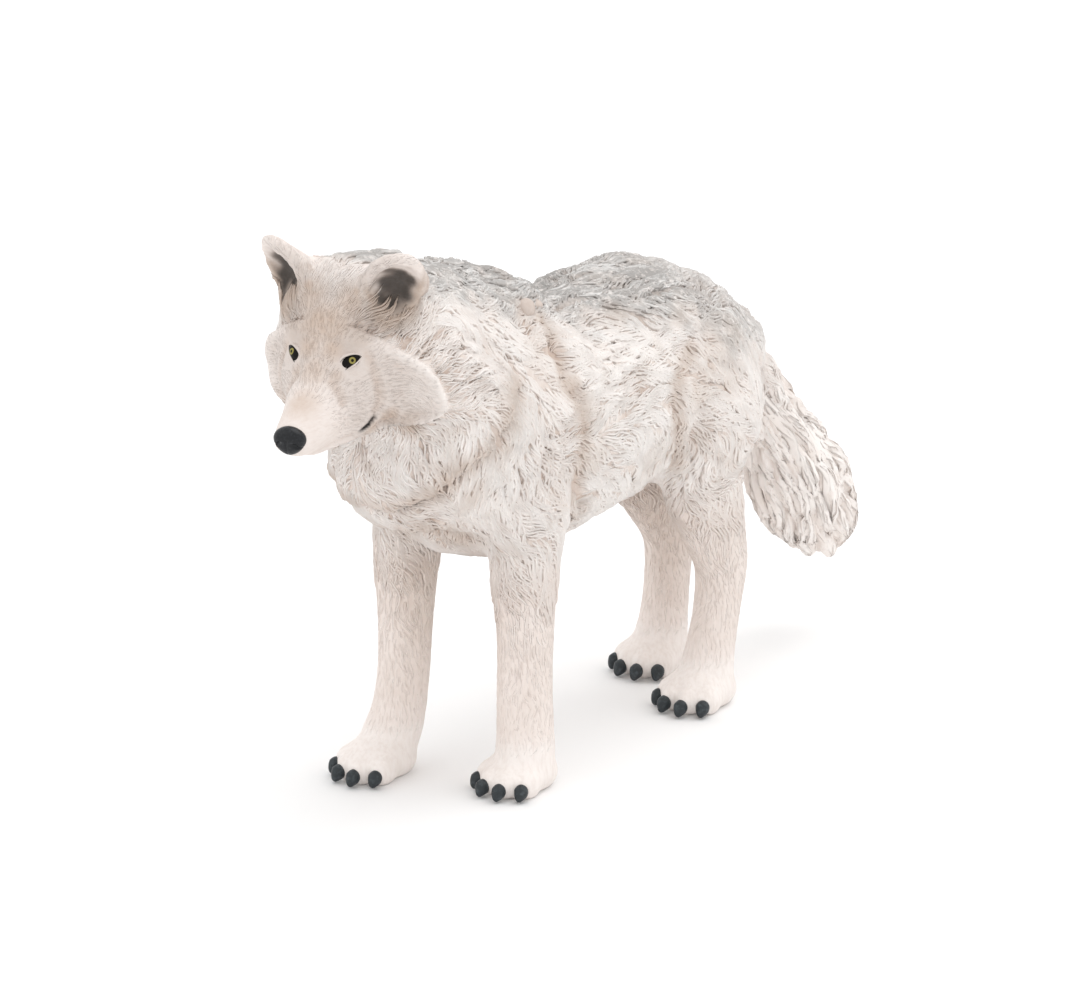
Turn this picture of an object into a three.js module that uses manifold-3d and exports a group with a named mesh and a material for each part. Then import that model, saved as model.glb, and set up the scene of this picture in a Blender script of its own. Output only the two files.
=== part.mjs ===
// Painted moulded figurine of an arctic wolf, standing in mid stride with its head low and its tail down.
// Units are millimetres, +Z is up, the nose points to -Y and the wolf's left side is +X.
// The solid is lofted whole from oval sections, then parted with thin cuts into the named pieces.
import * as THREE from "three";
import { mergeVertices } from "three/addons/utils/BufferGeometryUtils.js";
import Module from "manifold-3d";

const wasm = await Module();
wasm.setup();

// Driving dimensions
const cutGap = 0.3; // saw cut between neighbouring pieces
const seatGap = 0.12; // clearance round a claw, eye or nose set into the body

const head = { at: [1.0, -18, 51.8], yaw: 20, pitch: 23, roll: 3 }; // origin midway between the eyes; degrees
const eye = { forward: 0.9, side: 2.75, up: 0.25, radius: 1.2 };
const nose = { forward: 10.3, up: -3.1, halfWide: 1.72, halfDeep: 1.25, halfHigh: 1.55, tilt: -14 };
// Ears, in the head's axes [forward, side, up]: the root, a point up the axis, and the way the cup looks
const ear = { base: [-6.4, 5.5, 2.8], tip: [-5.3, 6.35, 9.6], facing: [0.5, 0.85, 0.05] };
// Sections across an ear, from the root to the tip: [along, back, front, half width, widest level]
const earSections = [
  [-1.6, 0, 0, 0, 0],
  [-0.4, 3.4, -2.0, 4.2, 0.1],
  [2.0, 2.8, -1.8, 4.0, 0],
  [4.4, 1.6, -1.5, 3.3, 0],
  [6.2, 0.8, -1.1, 2.4, -0.1],
  [7.2, -0.1, -0.1, 0, -0.1],
];
const earFlare = { inward: 1.3, upTo: 5 }; // the inner edge runs out onto the crown below this height
const earCup = { half: [2.4, 1.2, 3.3], forward: 1.5, level: 3.3 }; // the hollow in the front of an ear
// Sections across the body, from the throat to the root of the tail:
// [y, top, bottom, half width, widest level]
const bodySections = [
  [-15, 51.5, 51.5, 0, 51.5],
  [-12, 58.6, 41.5, 7.2, 50.5],
  [-7, 60.6, 33, 10, 46.5],
  [0, 57.8, 26.4, 11.4, 42.5],
  [8, 55.2, 24.2, 12.2, 40.5],
  [15, 51.6, 24.2, 11.8, 39],
  [23, 52.6, 25.2, 11.3, 39],
  [32, 53, 26.4, 10.8, 40.5],
  [39.5, 50.6, 30, 10.2, 41],
  [46, 46.4, 32.5, 8.5, 40.2],
  [52, 41, 41, 0, 41],
];
// Sections across the head, from the occiput to the tip of the upper jaw:
// [forward, top, bottom, half width, widest level] in the head's axes
const skullSections = [
  [-13.5, -2, -2, 0, -2],
  [-11, 5.2, -8.2, 7.6, -4],
  [-8, 6.7, -10.4, 8.7, -6],
  [-5, 6.2, -11, 8.9, -6.8],
  [-2.4, 4.5, -10.4, 7.7, -6.4],
  [0.4, 2.2, -9, 5.2, -4.6],
  [3, 0.3, -8, 3.6, -4.4],
  [6, -0.8, -7.2, 2.8, -4.4],
  [8.8, -1.4, -6, 2.4, -4],
  [10.5, -1.9, -5.1, 1.95, -3.7],
  [11.1, -3.6, -3.6, 0, -3.6],
];
const jawSections = [
  [-6, -7.4, -7.4, 0, -7.4],
  [-3.5, -5.6, -10.2, 4.6, -7.8],
  [-0.5, -5.6, -10.1, 4.9, -7.8],
  [2.2, -5.6, -9.5, 4, -7.6],
  [5, -5.5, -8.4, 2.6, -7],
  [7.8, -5.4, -7.1, 1.7, -6.3],
  [8.8, -6, -6, 0, -6],
];
const ruff = { at: [0, -4, 37.8], half: [9.6, 8.5, 8.3] };

// Legs: [x, y, z, half width, half depth] down the limb
const forelegLeft = [
  [7.2, 5.5, 43.5, 0, 0],
  [7.3, 5.4, 37.5, 4.2, 6.8],
  [7.6, 5.4, 30.5, 4.1, 5.8],
  [7.5, 5.3, 24.5, 3.4, 4.2],
  [7.4, 5.5, 17.5, 3.0, 3.4],
  [7.2, 5.6, 11, 3.0, 3.3],
  [7.2, 5.7, 6.5, 3.1, 3.4],
  [7.3, 5.6, 3.4, 3.0, 3.4],
  [7.3, 5.4, 1.2, 0, 0],
];
const forelegRight = [
  [-7.2, 4.6, 43.5, 0, 0],
  [-7.2, 4.4, 37.5, 4.2, 6.8],
  [-7.5, 3.8, 30.5, 4.2, 5.8],
  [-7.2, 3.1, 24.5, 3.5, 4.2],
  [-7.3, 2.9, 17.5, 3.0, 3.4],
  [-7.4, 2.6, 11, 2.9, 3.1],
  [-7.4, 1.7, 6.5, 3.0, 3.2],
  [-7.5, 0.3, 3.4, 3.0, 3.4],
  [-7.5, -0.3, 1.2, 0, 0],
];
const hindlegLeft = [
  [6.0, 40, 48, 0, 0],
  [6.2, 39, 42, 4.0, 7.0],
  [6.9, 38, 35.5, 4.6, 8.2],
  [6.6, 37.4, 28.5, 4.1, 6.6],
  [6.2, 39.1, 22, 3.3, 4.6],
  [5.9, 41.5, 16.5, 2.8, 3.7],
  [5.8, 40.9, 10.5, 2.7, 3.0],
  [5.7, 39.9, 6, 2.9, 3.1],
  [5.7, 39.2, 3, 3.0, 3.3],
  [5.7, 38.9, 1.0, 0, 0],
];
const hindlegRight = [
  [-6.0, 40.5, 48, 0, 0],
  [-6.2, 40, 42, 4.0, 7.0],
  [-6.8, 40, 35.5, 4.6, 8.2],
  [-6.4, 41.4, 28.5, 4.1, 6.8],
  [-6.1, 44.2, 22, 3.3, 4.7],
  [-5.9, 46.8, 16.5, 2.8, 3.6],
  [-5.8, 46.6, 10.5, 2.7, 3.0],
  [-5.8, 46.0, 6, 2.9, 3.1],
  [-5.8, 45.4, 3, 3.0, 3.3],
  [-5.8, 45.2, 1.0, 0, 0],
];
const tailSections = [
  [0, 47, 44, 0, 0],
  [0, 50.8, 39.3, 2.9, 2.9],
  [0, 54.9, 32.7, 3.8, 4.1],
  [0, 59.4, 25.7, 4.8, 5.9],
  [0, 64.2, 19.4, 5.3, 7.1],
  [0, 69.6, 13.4, 4.6, 5.6],
  [0, 73.3, 9.8, 0, 0],
];
// Paws: middle of the foot on the ground, heading in degrees to the wolf's left, and size
const paws = {
  forepaw_left: { at: [7.0, 5.5], turn: 0, scale: 0.87 },
  forepaw_right: { at: [-7.4, -1.2], turn: -4, scale: 0.87 },
  hindpaw_left: { at: [5.7, 38.6], turn: 0, scale: 0.9 },
  hindpaw_right: { at: [-5.8, 45.0], turn: 0, scale: 0.9 },
};
const pad = { half: [4.1, 4.9, 3.1], back: 0.2, level: 2.2, slope: 12 };
// Toes: half sizes, level of the middle, splay in degrees, and [sideways, forward] of each in the foot
const toe = {
  half: [1.4, 2.5, 2.15],
  level: 1.75,
  splay: 7,
  seats: [
    [-3.1, 2.3],
    [-1.15, 3.9],
    [1.15, 3.9],
    [3.1, 2.3],
  ],
};
// Claws: the middle lies a share of the length ahead of the toe's end, less what is sunk in it
const claw = { length: 2.2, radius: 0.86, deeper: 1.15, droop: 34, sunk: 0.6, ahead: 0.22, level: -0.2 };

// Parting: the block of space that each piece is cut out with, in cutting order, low corner to high corner.
// Ears: in the ear's own axes, above its root
const earBlock = { low: [-4.6, -3, 2.9], high: [4.6, 3, 12] };
// Jaw and head: in the head's axes, x to the left, y to the back, z up, tilted about the eyes' middle
const jawBlock = { low: [-5.2, -13, -12], high: [5.2, -1.4, -6.75], tilt: -9 };
const headBlock = { low: [-14, -15, -9.6], high: [14, 8.4, 14], tilt: 0 };
// Neck: all that lies ahead of a leaning cut through the withers
const neckBlock = { low: [-20, -40, -25], high: [20, 0, 35], at: [0, 1.5, 45], tilt: -14 };
// Legs: on each side, outwards from the inner face, turned in degrees about the middle of the top
const legBlocks = [
  { name: "forepaw", inner: 0.6, y: [-12, 14], z: [-1, 5.6], tilt: 0 },
  { name: "foreleg", inner: 3, y: [-6, 11], z: [-1, 27.4], tilt: 0 },
  { name: "hindpaw", inner: 0.6, y: [28, 56], z: [-1, 5.4], tilt: 0 },
  { name: "shank", inner: 0.6, y: [26, 56], z: [-1, 21], tilt: 0 },
  { name: "thigh", inner: 2.2, y: [29.4, 49.5], z: [8, 34.5], tilt: 16 },
];
const legOuter = 16; // where the leg blocks end, outside the body
// Tail: in the tail's axes, z down its length from the root
const tail = { root: [0, 51, 39.6], lean: 32, halfWide: 7, halfDeep: 12, end: 60 };
const tailCuts = { tail_brush: 19, tail_root: 4.2 }; // distance of each piece's cut from the root
const room = { low: [-60, -60, 0], high: [60, 120, 90] }; // space above the ground that the figure fills

const colours = {
  coat: new THREE.MeshStandardMaterial({ color: 0xece4dc, roughness: 0.72 }),
  saddle: new THREE.MeshStandardMaterial({ color: 0xc9c8c4, roughness: 0.7 }),
  horn: new THREE.MeshStandardMaterial({ color: 0x2f3435, roughness: 0.45 }),
  iris: new THREE.MeshStandardMaterial({ color: 0x9a9440, roughness: 0.2 }),
};

const rad = THREE.MathUtils.degToRad;

// Catmull-Rom value of a list of equal-length rows at s, counted in rows.
function rowAt(rows, s) {
  const last = rows.length - 1;
  const i = Math.min(Math.floor(s), last - 1);
  const t = s - i;
  return rows[i].map((_, k) => {
    const p1 = rows[i][k];
    const p2 = rows[i + 1][k];
    const p0 = i > 0 ? rows[i - 1][k] : 2 * p1 - p2;
    const p3 = i + 1 < last ? rows[i + 2][k] : 2 * p2 - p1;
    return p1 + 0.5 * t * (p2 - p0 + t * (2 * p0 - 5 * p1 + 4 * p2 - p3 + t * (3 * (p1 - p2) + p3 - p0)));
  });
}

// A closed triangle mesh as a manifold solid with its faces pointing out.
function solid(geometry) {
  const g = geometry.clone();
  g.deleteAttribute("normal");
  g.deleteAttribute("uv");
  const merged = mergeVertices(g, 1e-4);
  const vertProperties = new Float32Array(merged.attributes.position.array);
  const tri = [];
  for (let i = 0; i < merged.index.count; i += 3) {
    const [a, b, c] = [merged.index.getX(i), merged.index.getX(i + 1), merged.index.getX(i + 2)];
    if (a !== b && b !== c && c !== a) tri.push([a, b, c]);
  }
  const build = (faces) =>
    new wasm.Manifold(new wasm.Mesh({ numProp: 3, vertProperties, triVerts: new Uint32Array(faces.flat()) }));
  const made = build(tri);
  return made.volume() >= 0 ? made : build(tri.map(([a, b, c]) => [a, c, b]));
}

// A sphere's vertices moved to section(s, angle), where s runs from pole to pole in rows.
function loft(rowCount, section, sides, rings) {
  const g = new THREE.SphereGeometry(1, sides, rings);
  const p = g.attributes.position;
  const last = rowCount - 1;
  const nearPole = 1e-6;
  for (let i = 0; i < p.count; i++) {
    const polar = Math.acos(THREE.MathUtils.clamp(p.getY(i), -1, 1));
    const s = THREE.MathUtils.clamp((polar / Math.PI) * last, 0, last);
    const pole = s < nearPole || s > last - nearPole;
    const angle = pole ? 0 : Math.atan2(p.getZ(i), p.getX(i));
    p.setXYZ(i, ...section(s, angle));
  }
  return solid(g);
}

// A round form through cross sections [along, top, bottom, half width, widest level];
// place maps (across, along, up) to the figure.
function crossLoft(rows, place, sides, rings) {
  const squared = rows.map(([a, top, low, w, mid]) => [a, (top - mid) ** 2, (mid - low) ** 2, w * w, mid]);
  const section = (s, angle) => {
    const [along, up2, down2, w2, mid] = rowAt(squared, s);
    const side = Math.cos(angle) * Math.sqrt(Math.max(w2, 0));
    const rise = Math.sin(angle) * Math.sqrt(Math.max(Math.sin(angle) > 0 ? up2 : down2, 0));
    return place(side, along, mid + rise);
  };
  return loft(rows.length, section, sides, rings);
}

// A limb through ovals [x, y, z, half width, half depth] set square to its path.
function limbLoft(rows, sides, rings) {
  const squared = rows.map(([x, y, z, w, d]) => [x, y, z, w * w, d * d]);
  const step = 0.05; // rows to each side of a section that its direction is taken from
  const section = (s, angle) => {
    const [x, y, z, w2, d2] = rowAt(squared, s);
    const a = rowAt(squared, Math.max(s - step, 0));
    const b = rowAt(squared, Math.min(s + step, rows.length - 1));
    const way = new THREE.Vector3(0, b[1] - a[1], b[2] - a[2]).normalize();
    const side = Math.cos(angle) * Math.sqrt(Math.max(w2, 0));
    const deep = Math.sin(angle) * Math.sqrt(Math.max(d2, 0));
    return [x + side, y - way.z * deep, z + way.y * deep];
  };
  return loft(rows.length, section, sides, rings);
}

// An ellipsoid with its half sizes along its own axes, grown by a gap and carried by a matrix.
function ellipsoid(half, matrix, sides, rings, gap = 0) {
  const g = new THREE.SphereGeometry(1, sides, rings).scale(...half.map((h) => h + gap)).applyMatrix4(matrix);
  return solid(g);
}

// A block of space between two corners, grown by a gap all round and carried by a matrix.
function block(low, high, matrix, gap = 0) {
  const size = high.map((h, i) => h - low[i] + 2 * gap);
  const mid = high.map((h, i) => (h + low[i]) / 2);
  return solid(new THREE.BoxGeometry(...size).translate(...mid).applyMatrix4(matrix));
}

// A place and turns about x, y and z in degrees, as a matrix.
function at(x, y, z, rx = 0, ry = 0, rz = 0) {
  const turn = new THREE.Quaternion().setFromEuler(new THREE.Euler(rad(rx), rad(ry), rad(rz), "ZYX"));
  return new THREE.Matrix4().compose(new THREE.Vector3(x, y, z), turn, new THREE.Vector3(1, 1, 1));
}

const join = (list) => list.reduce((a, b) => a.add(b));
const sides = { left: 1, right: -1 };

// Head axes: x to the wolf's left, y to the back of the head, z up from the muzzle.
const headFrame = at(...head.at, head.pitch, head.roll, head.yaw);
const inHead = (side, forward, up) => new THREE.Vector3(side, -forward, up).applyMatrix4(headFrame).toArray();
const headPart = (m) => headFrame.clone().multiply(m);

function makeSkull() {
  const skull = crossLoft(skullSections, inHead, 18, 16);
  return skull.add(crossLoft(jawSections, inHead, 10, 8));
}

// The ear's own frame: z runs from its root to its tip and -y looks out of the cup.
function earFrame(side) {
  const [baseForward, baseSide, baseUp] = ear.base;
  const [tipForward, tipSide, tipUp] = ear.tip;
  const base = new THREE.Vector3(side * baseSide, -baseForward, baseUp);
  const tip = new THREE.Vector3(side * tipSide, -tipForward, tipUp);
  const z = tip.clone().sub(base).normalize();
  const facing = new THREE.Vector3(-side * ear.facing[0], ear.facing[1], -ear.facing[2]);
  const y = facing.projectOnPlane(z).normalize();
  const x = y.clone().cross(z);
  return headPart(new THREE.Matrix4().makeBasis(x, y, z).setPosition(base));
}

function makeEar(side) {
  const frame = earFrame(side);
  const inEar = (across, along, back) => {
    const low = Math.max(1 - Math.max(along, 0) / earFlare.upTo, 0);
    const spread = side * earFlare.inward * low * low;
    return new THREE.Vector3(across - spread, back, along).applyMatrix4(frame).toArray();
  };
  const shell = crossLoft(earSections, inEar, 10, 8);
  const cup = ellipsoid(earCup.half, frame.clone().multiply(at(0, -earCup.forward, earCup.level)), 8, 5);
  return shell.subtract(cup);
}

function makeNose(gap) {
  const half = [nose.halfWide, nose.halfDeep, nose.halfHigh];
  return ellipsoid(half, headPart(at(0, -nose.forward, nose.up, nose.tilt)), 12, 7, gap);
}

function makeEye(side, gap) {
  const half = [eye.radius, eye.radius, eye.radius];
  return ellipsoid(half, headPart(at(side * eye.side, -eye.forward, eye.up)), 8, 6, gap);
}

function pawFrame(paw) {
  const size = new THREE.Matrix4().makeScale(paw.scale, paw.scale, paw.scale);
  return at(...paw.at, 0, 0, 0, paw.turn).multiply(size);
}

function toeFrame(paw, [side, forward]) {
  return pawFrame(paw).multiply(at(side, -forward, toe.level, 0, 0, (side * toe.splay) / 2));
}

function makePaw(paw) {
  const middle = ellipsoid(pad.half, pawFrame(paw).multiply(at(0, pad.back, pad.level, -pad.slope)), 10, 7);
  const toes = toe.seats.map((seat) => ellipsoid(toe.half, toeFrame(paw, seat), 6, 5));
  return join([middle, ...toes]);
}

function makeClaw(paw, seat, gap) {
  const frame = toeFrame(paw, seat).multiply(at(0, claw.sunk - toe.half[1], claw.level, claw.droop));
  const half = [claw.radius, claw.length / 2, claw.radius * claw.deeper];
  return ellipsoid(half, frame.multiply(at(0, -claw.length * claw.ahead, 0)), 6, 4, gap);
}

// The whole figure in one, with its soles cut flat at the ground.
function makeBody() {
  const trunk = crossLoft(bodySections, (side, along, up) => [side, along, up], 20, 20);
  const bib = ellipsoid(ruff.half, at(...ruff.at), 14, 8);
  const limbs = [forelegLeft, forelegRight, hindlegLeft, hindlegRight].map((rows) => limbLoft(rows, 10, 12));
  const brush = limbLoft(tailSections, 12, 12);
  const ears = Object.values(sides).map(makeEar);
  const feet = Object.values(paws).map(makePaw);
  const whole = join([trunk, bib, ...limbs, brush, makeSkull(), ...ears, ...feet]);
  return whole.intersect(block(room.low, room.high, new THREE.Matrix4()));
}

const largest = (lumps) => lumps.reduce((a, b) => (a.volume() > b.volume() ? a : b));

// The body parted into named pieces; what is left when all blocks are taken out is the trunk.
function partBody(body) {
  const pieces = {};
  let rest = body;
  const take = (name, { low, high }, matrix) => {
    pieces[name] = largest(rest.intersect(block(low, high, matrix)).decompose());
    rest = rest.subtract(block(low, high, matrix, cutGap));
  };

  for (const [name, side] of Object.entries(sides)) take("ear_" + name, earBlock, earFrame(side));
  take("jaw", jawBlock, headPart(at(0, 0, 0, jawBlock.tilt)));
  take("head", headBlock, headFrame);
  take("neck", neckBlock, at(...neckBlock.at, neckBlock.tilt));
  for (const [sideName, side] of Object.entries(sides)) {
    for (const { name, inner, y, z, tilt } of legBlocks) {
      const x = [side * inner, side * legOuter].sort((a, b) => a - b);
      const top = [0, (y[0] + y[1]) / 2, z[1]];
      const corner = (i) => [x[i], y[i] - top[1], z[i] - top[2]];
      take(`${name}_${sideName}`, { low: corner(0), high: corner(1) }, at(...top, tilt));
    }
  }
  const tailFrame = at(...tail.root, 180 + tail.lean);
  for (const [name, from] of Object.entries(tailCuts)) {
    const high = [tail.halfWide, tail.halfDeep, tail.end];
    take(name, { low: [-tail.halfWide, -tail.halfDeep, from], high }, tailFrame);
  }
  pieces.trunk = largest(rest.decompose());
  return pieces;
}

const figure = new THREE.Group();

function addPiece(name, made, material) {
  const mesh = made.getMesh();
  const g = new THREE.BufferGeometry();
  g.setAttribute("position", new THREE.BufferAttribute(new Float32Array(mesh.vertProperties), 3));
  g.setIndex(new THREE.BufferAttribute(new Uint32Array(mesh.triVerts), 1));
  const piece = new THREE.Mesh(g, material);
  piece.name = name;
  figure.add(piece);
}

// Eyes, nose and claws stand in seats cut a little wider than they are.
const pieces = partBody(makeBody());
pieces.head = pieces.head.subtract(makeNose(seatGap));
addPiece("nose", makeNose(0), colours.horn);
for (const [name, side] of Object.entries(sides)) {
  pieces.head = pieces.head.subtract(makeEye(side, seatGap));
  addPiece("eye_" + name, makeEye(side, 0), colours.iris);
}
for (const [name, paw] of Object.entries(paws)) {
  toe.seats.forEach((seat, i) => {
    pieces[name] = pieces[name].subtract(makeClaw(paw, seat, seatGap));
    addPiece(`${name}_claw_${i + 1}`, makeClaw(paw, seat, 0), colours.horn);
  });
}
for (const [name, made] of Object.entries(pieces)) {
  addPiece(name, made, name === "trunk" ? colours.saddle : colours.coat);
}

// The origin is on the ground under the middle of the figure's box.
const whole = new THREE.Box3().setFromObject(figure);
figure.position.set(-(whole.min.x + whole.max.x) / 2, -(whole.min.y + whole.max.y) / 2, -whole.min.z);

export default figure;
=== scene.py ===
import math
import bmesh
import bpy
import numpy as np
from mathutils import Euler, Matrix, Vector
from mathutils.bvhtree import BVHTree
from mathutils.kdtree import KDTree


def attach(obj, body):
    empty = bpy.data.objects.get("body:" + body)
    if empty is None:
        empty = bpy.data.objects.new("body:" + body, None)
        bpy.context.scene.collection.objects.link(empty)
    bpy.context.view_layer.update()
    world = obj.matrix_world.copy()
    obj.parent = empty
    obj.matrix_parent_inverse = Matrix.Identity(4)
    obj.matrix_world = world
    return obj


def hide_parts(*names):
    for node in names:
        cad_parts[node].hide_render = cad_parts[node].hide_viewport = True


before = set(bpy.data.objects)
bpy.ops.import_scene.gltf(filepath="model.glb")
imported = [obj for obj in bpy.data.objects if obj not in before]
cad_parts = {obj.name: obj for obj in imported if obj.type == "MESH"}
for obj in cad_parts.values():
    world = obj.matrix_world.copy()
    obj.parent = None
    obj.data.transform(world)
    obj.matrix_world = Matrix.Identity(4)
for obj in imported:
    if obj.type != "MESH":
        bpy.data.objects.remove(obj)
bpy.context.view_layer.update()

mm = 0.001
footToMiddle = 23.5687  # how far the figure's middle lies behind the line of the forefeet, mm
wolf = bpy.data.collections.new("arcticWolf")
bpy.context.scene.collection.children.link(wolf)


# The figure's own axes are millimetres from the ground between the forefeet, with the nose to -Y.

def toFrame(points):
    # millimetres on the figure to metres in the shared frame
    return (np.asarray(points, float) - (0, footToMiddle, 0)) * mm


def turned(x, y, z, rx=0, ry=0, rz=0):
    # a place, turned in degrees about x, then y, then z
    turn = [math.radians(v) for v in (rx, ry, rz)]
    return Matrix.Translation((x, y, z)) @ Euler(turn, "XYZ").to_matrix().to_4x4()


def scaled(x, y, z):
    return Matrix.Diagonal((x, y, z, 1))


head = dict(at=(1.0, -18, 51.8), yaw=20, pitch=23, roll=3)  # the middle of the eyes
headPlace = turned(*head["at"], head["pitch"], head["roll"], head["yaw"])
headBack = np.array(headPlace.inverted())


def inHead(side, forward, up):
    return headPlace @ Vector((side, -forward, up))


def headCoords(points):
    # side, forward and up of points on the figure
    x, y, z = (points @ headBack[:3, :3].T + headBack[:3, 3]).T
    return x, -y, z


# Lofts and meshes

def rowAt(rows, s):
    # Catmull-Rom value of rows of equal length, s counted in rows
    last = len(rows) - 1
    i = min(int(s), last - 1)
    t = s - i
    p1, p2 = rows[i], rows[i + 1]
    p0 = rows[i - 1] if i > 0 else 2 * p1 - p2
    p3 = rows[i + 2] if i + 1 < last else 2 * p2 - p1
    return p1 + 0.5 * t * (p2 - p0 + t * (2 * p0 - 5 * p1 + 4 * p2 - p3 + t * (3 * (p1 - p2) + p3 - p0)))


def loft(rowCount, place, sides, rings):
    # a sphere whose vertices are moved to place(s, angle), with s running from pole to pole
    bm = bmesh.new()
    bmesh.ops.create_uvsphere(bm, u_segments=sides, v_segments=rings, radius=1)
    for v in bm.verts:
        polar = math.acos(max(-1, min(1, v.co.z)))
        v.co = place(polar / math.pi * (rowCount - 1), math.atan2(v.co.y, v.co.x))
    bmesh.ops.recalc_face_normals(bm, faces=bm.faces)
    return bm


def crossLoft(rows, place, sides, rings):
    # upright ovals: [along, top, bottom, half width, widest level]
    squared = np.array([[a, (t - m) ** 2, (m - b) ** 2, w * w, m] for a, t, b, w, m in rows])

    def spot(s, angle):
        along, up, down, wide, mid = rowAt(squared, s)
        rise = math.sin(angle) * math.sqrt(max(up if math.sin(angle) > 0 else down, 0))
        return place(math.cos(angle) * math.sqrt(max(wide, 0)), along, mid + rise)
    return loft(len(rows), spot, sides, rings)


def limbLoft(rows, sides, rings):
    # ovals square to the limb's path: [x, y, z, half width, half depth]
    squared = np.array([[x, y, z, w * w, d * d] for x, y, z, w, d in rows])

    def spot(s, angle):
        x, y, z, wide, deep = rowAt(squared, s)
        way = rowAt(squared, min(s + 0.05, len(rows) - 1)) - rowAt(squared, max(s - 0.05, 0))
        way = Vector((0, way[1], way[2])).normalized()
        out = math.sin(angle) * math.sqrt(max(deep, 0))
        return Vector((x + math.cos(angle) * math.sqrt(max(wide, 0)), y - way.z * out, z + way.y * out))
    return loft(len(rows), spot, sides, rings)


def moved(bm, place):
    bmesh.ops.transform(bm, matrix=place, verts=bm.verts)
    return bm


def ball(half, place=Matrix.Identity(4), sides=40, rings=28):
    bm = bmesh.new()
    bmesh.ops.create_uvsphere(bm, u_segments=sides, v_segments=rings, radius=1, matrix=place @ scaled(*half))
    return bm


def gather(parts):
    # several bmeshes as one
    whole = bmesh.new()
    for bm in parts:
        mesh = bpy.data.meshes.new("part")
        bm.to_mesh(mesh)
        bm.free()
        whole.from_mesh(mesh)
        bpy.data.meshes.remove(mesh)
    return whole


def newObject(name, bm):
    mesh = bpy.data.meshes.new(name)
    bm.to_mesh(mesh)
    bm.free()
    obj = bpy.data.objects.new(name, mesh)
    wolf.objects.link(obj)
    return obj


def places(mesh):
    out = np.empty(len(mesh.vertices) * 3, np.float64)
    mesh.vertices.foreach_get("co", out)
    return out.reshape(-1, 3)


def setPlaces(mesh, points):
    mesh.vertices.foreach_set("co", np.asarray(points, np.float64).ravel())
    mesh.update()


def normalsOf(mesh):
    out = np.empty(len(mesh.vertices) * 3, np.float32)
    mesh.vertex_normals.foreach_get("vector", out)
    return out.reshape(-1, 3).astype(float)


def setValue(mesh, name, values):
    # one value for each vertex, or the same one for all
    layer = mesh.attributes.new(name, "FLOAT", "POINT")
    layer.data.foreach_set("value", np.broadcast_to(values, len(mesh.vertices)).astype(np.float32))


def surfaceTree(mesh):
    faces = [tuple(f.vertices) for f in mesh.polygons]
    return BVHTree.FromPolygons([v.co.copy() for v in mesh.vertices], faces)


# Fields over the figure

def smoothStep(x, none, whole):
    # 0 where x is none, 1 where it is whole, whichever is larger
    t = np.clip((x - none) / (whole - none), 0, 1)
    return t * t * (3 - 2 * t)


def near(distance, reach):
    # 1 at the middle, 0 at reach, with round shoulders
    t = np.clip(1 - (distance / reach) ** 2, 0, 1)
    return t * t


def mirrored(points):
    # what stands on one flank stands on the other
    return np.abs(points * (1, 0, 0)) + points * (0, 1, 1)


def ripple(points, size, seed, waves=14):
    # smooth random value, about -1 to 1, with features of that size in mm
    dice = np.random.default_rng(seed)
    way = dice.normal(size=(waves, 3))
    pace = (0.7 + 0.6 * dice.random((waves, 1))) * math.pi / size
    way *= pace / np.linalg.norm(way, axis=1, keepdims=True)
    turn = dice.random(waves) * 2 * math.pi
    return np.sin(points @ way.T + turn).sum(1) * math.sqrt(2 / waves) * 0.6


def shaken(points, far, size, seeds):
    # points moved by ripples, so that borders between them wander
    return points + far * np.stack([ripple(points, size, seed) for seed in seeds], 1)


def unit(v):
    return v / np.maximum(np.linalg.norm(v, axis=-1, keepdims=True), 1e-9)


# The moulding

body = dict(
    # [y, top, bottom, half width, widest level] from the throat to the root of the tail
    trunk=[
        [-15, 51.5, 51.5, 0, 51.5], [-12, 58.6, 41.5, 7.2, 50.5], [-7, 60.6, 33, 10, 46.5],
        [0, 57.8, 26.4, 11.4, 42.5], [8, 55.2, 24.2, 12.2, 40.5], [15, 51.6, 24.2, 11.8, 39],
        [23, 52.6, 25.2, 11.3, 39], [32, 53, 26.4, 10.8, 40.5], [39.5, 50.6, 30, 10.2, 41],
        [46, 46.4, 32.5, 8.5, 40.2], [52, 41, 41, 0, 41]],
    ruff=dict(at=(0, -4, 37.8), half=(9.6, 8.5, 8.3)),
    # [forward, top, bottom, half width, widest level] in the head's axes
    skull=[
        [-13.5, -2, -2, 0, -2], [-11, 5.2, -8.2, 7.6, -4], [-8, 6.7, -10.4, 8.7, -6],
        [-5, 6.2, -11, 8.9, -6.8], [-2.4, 4.5, -10.4, 7.7, -6.4], [0.4, 2.2, -9, 5.2, -4.6],
        [3, 0.3, -8, 3.6, -4.4], [6, -0.8, -7.2, 2.8, -4.4], [8.8, -1.4, -6, 2.4, -4],
        [10.5, -1.9, -5.1, 1.95, -3.7], [11.1, -3.6, -3.6, 0, -3.6]],
    jaw=[
        [-6, -7.4, -7.4, 0, -7.4], [-3.5, -5.6, -10.2, 4.6, -7.8], [-0.5, -5.6, -10.1, 4.9, -7.8],
        [2.2, -5.6, -9.5, 4, -7.6], [5, -5.5, -8.4, 2.6, -7], [7.8, -5.4, -7.1, 1.7, -6.3],
        [8.8, -6, -6, 0, -6]],
)
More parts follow.
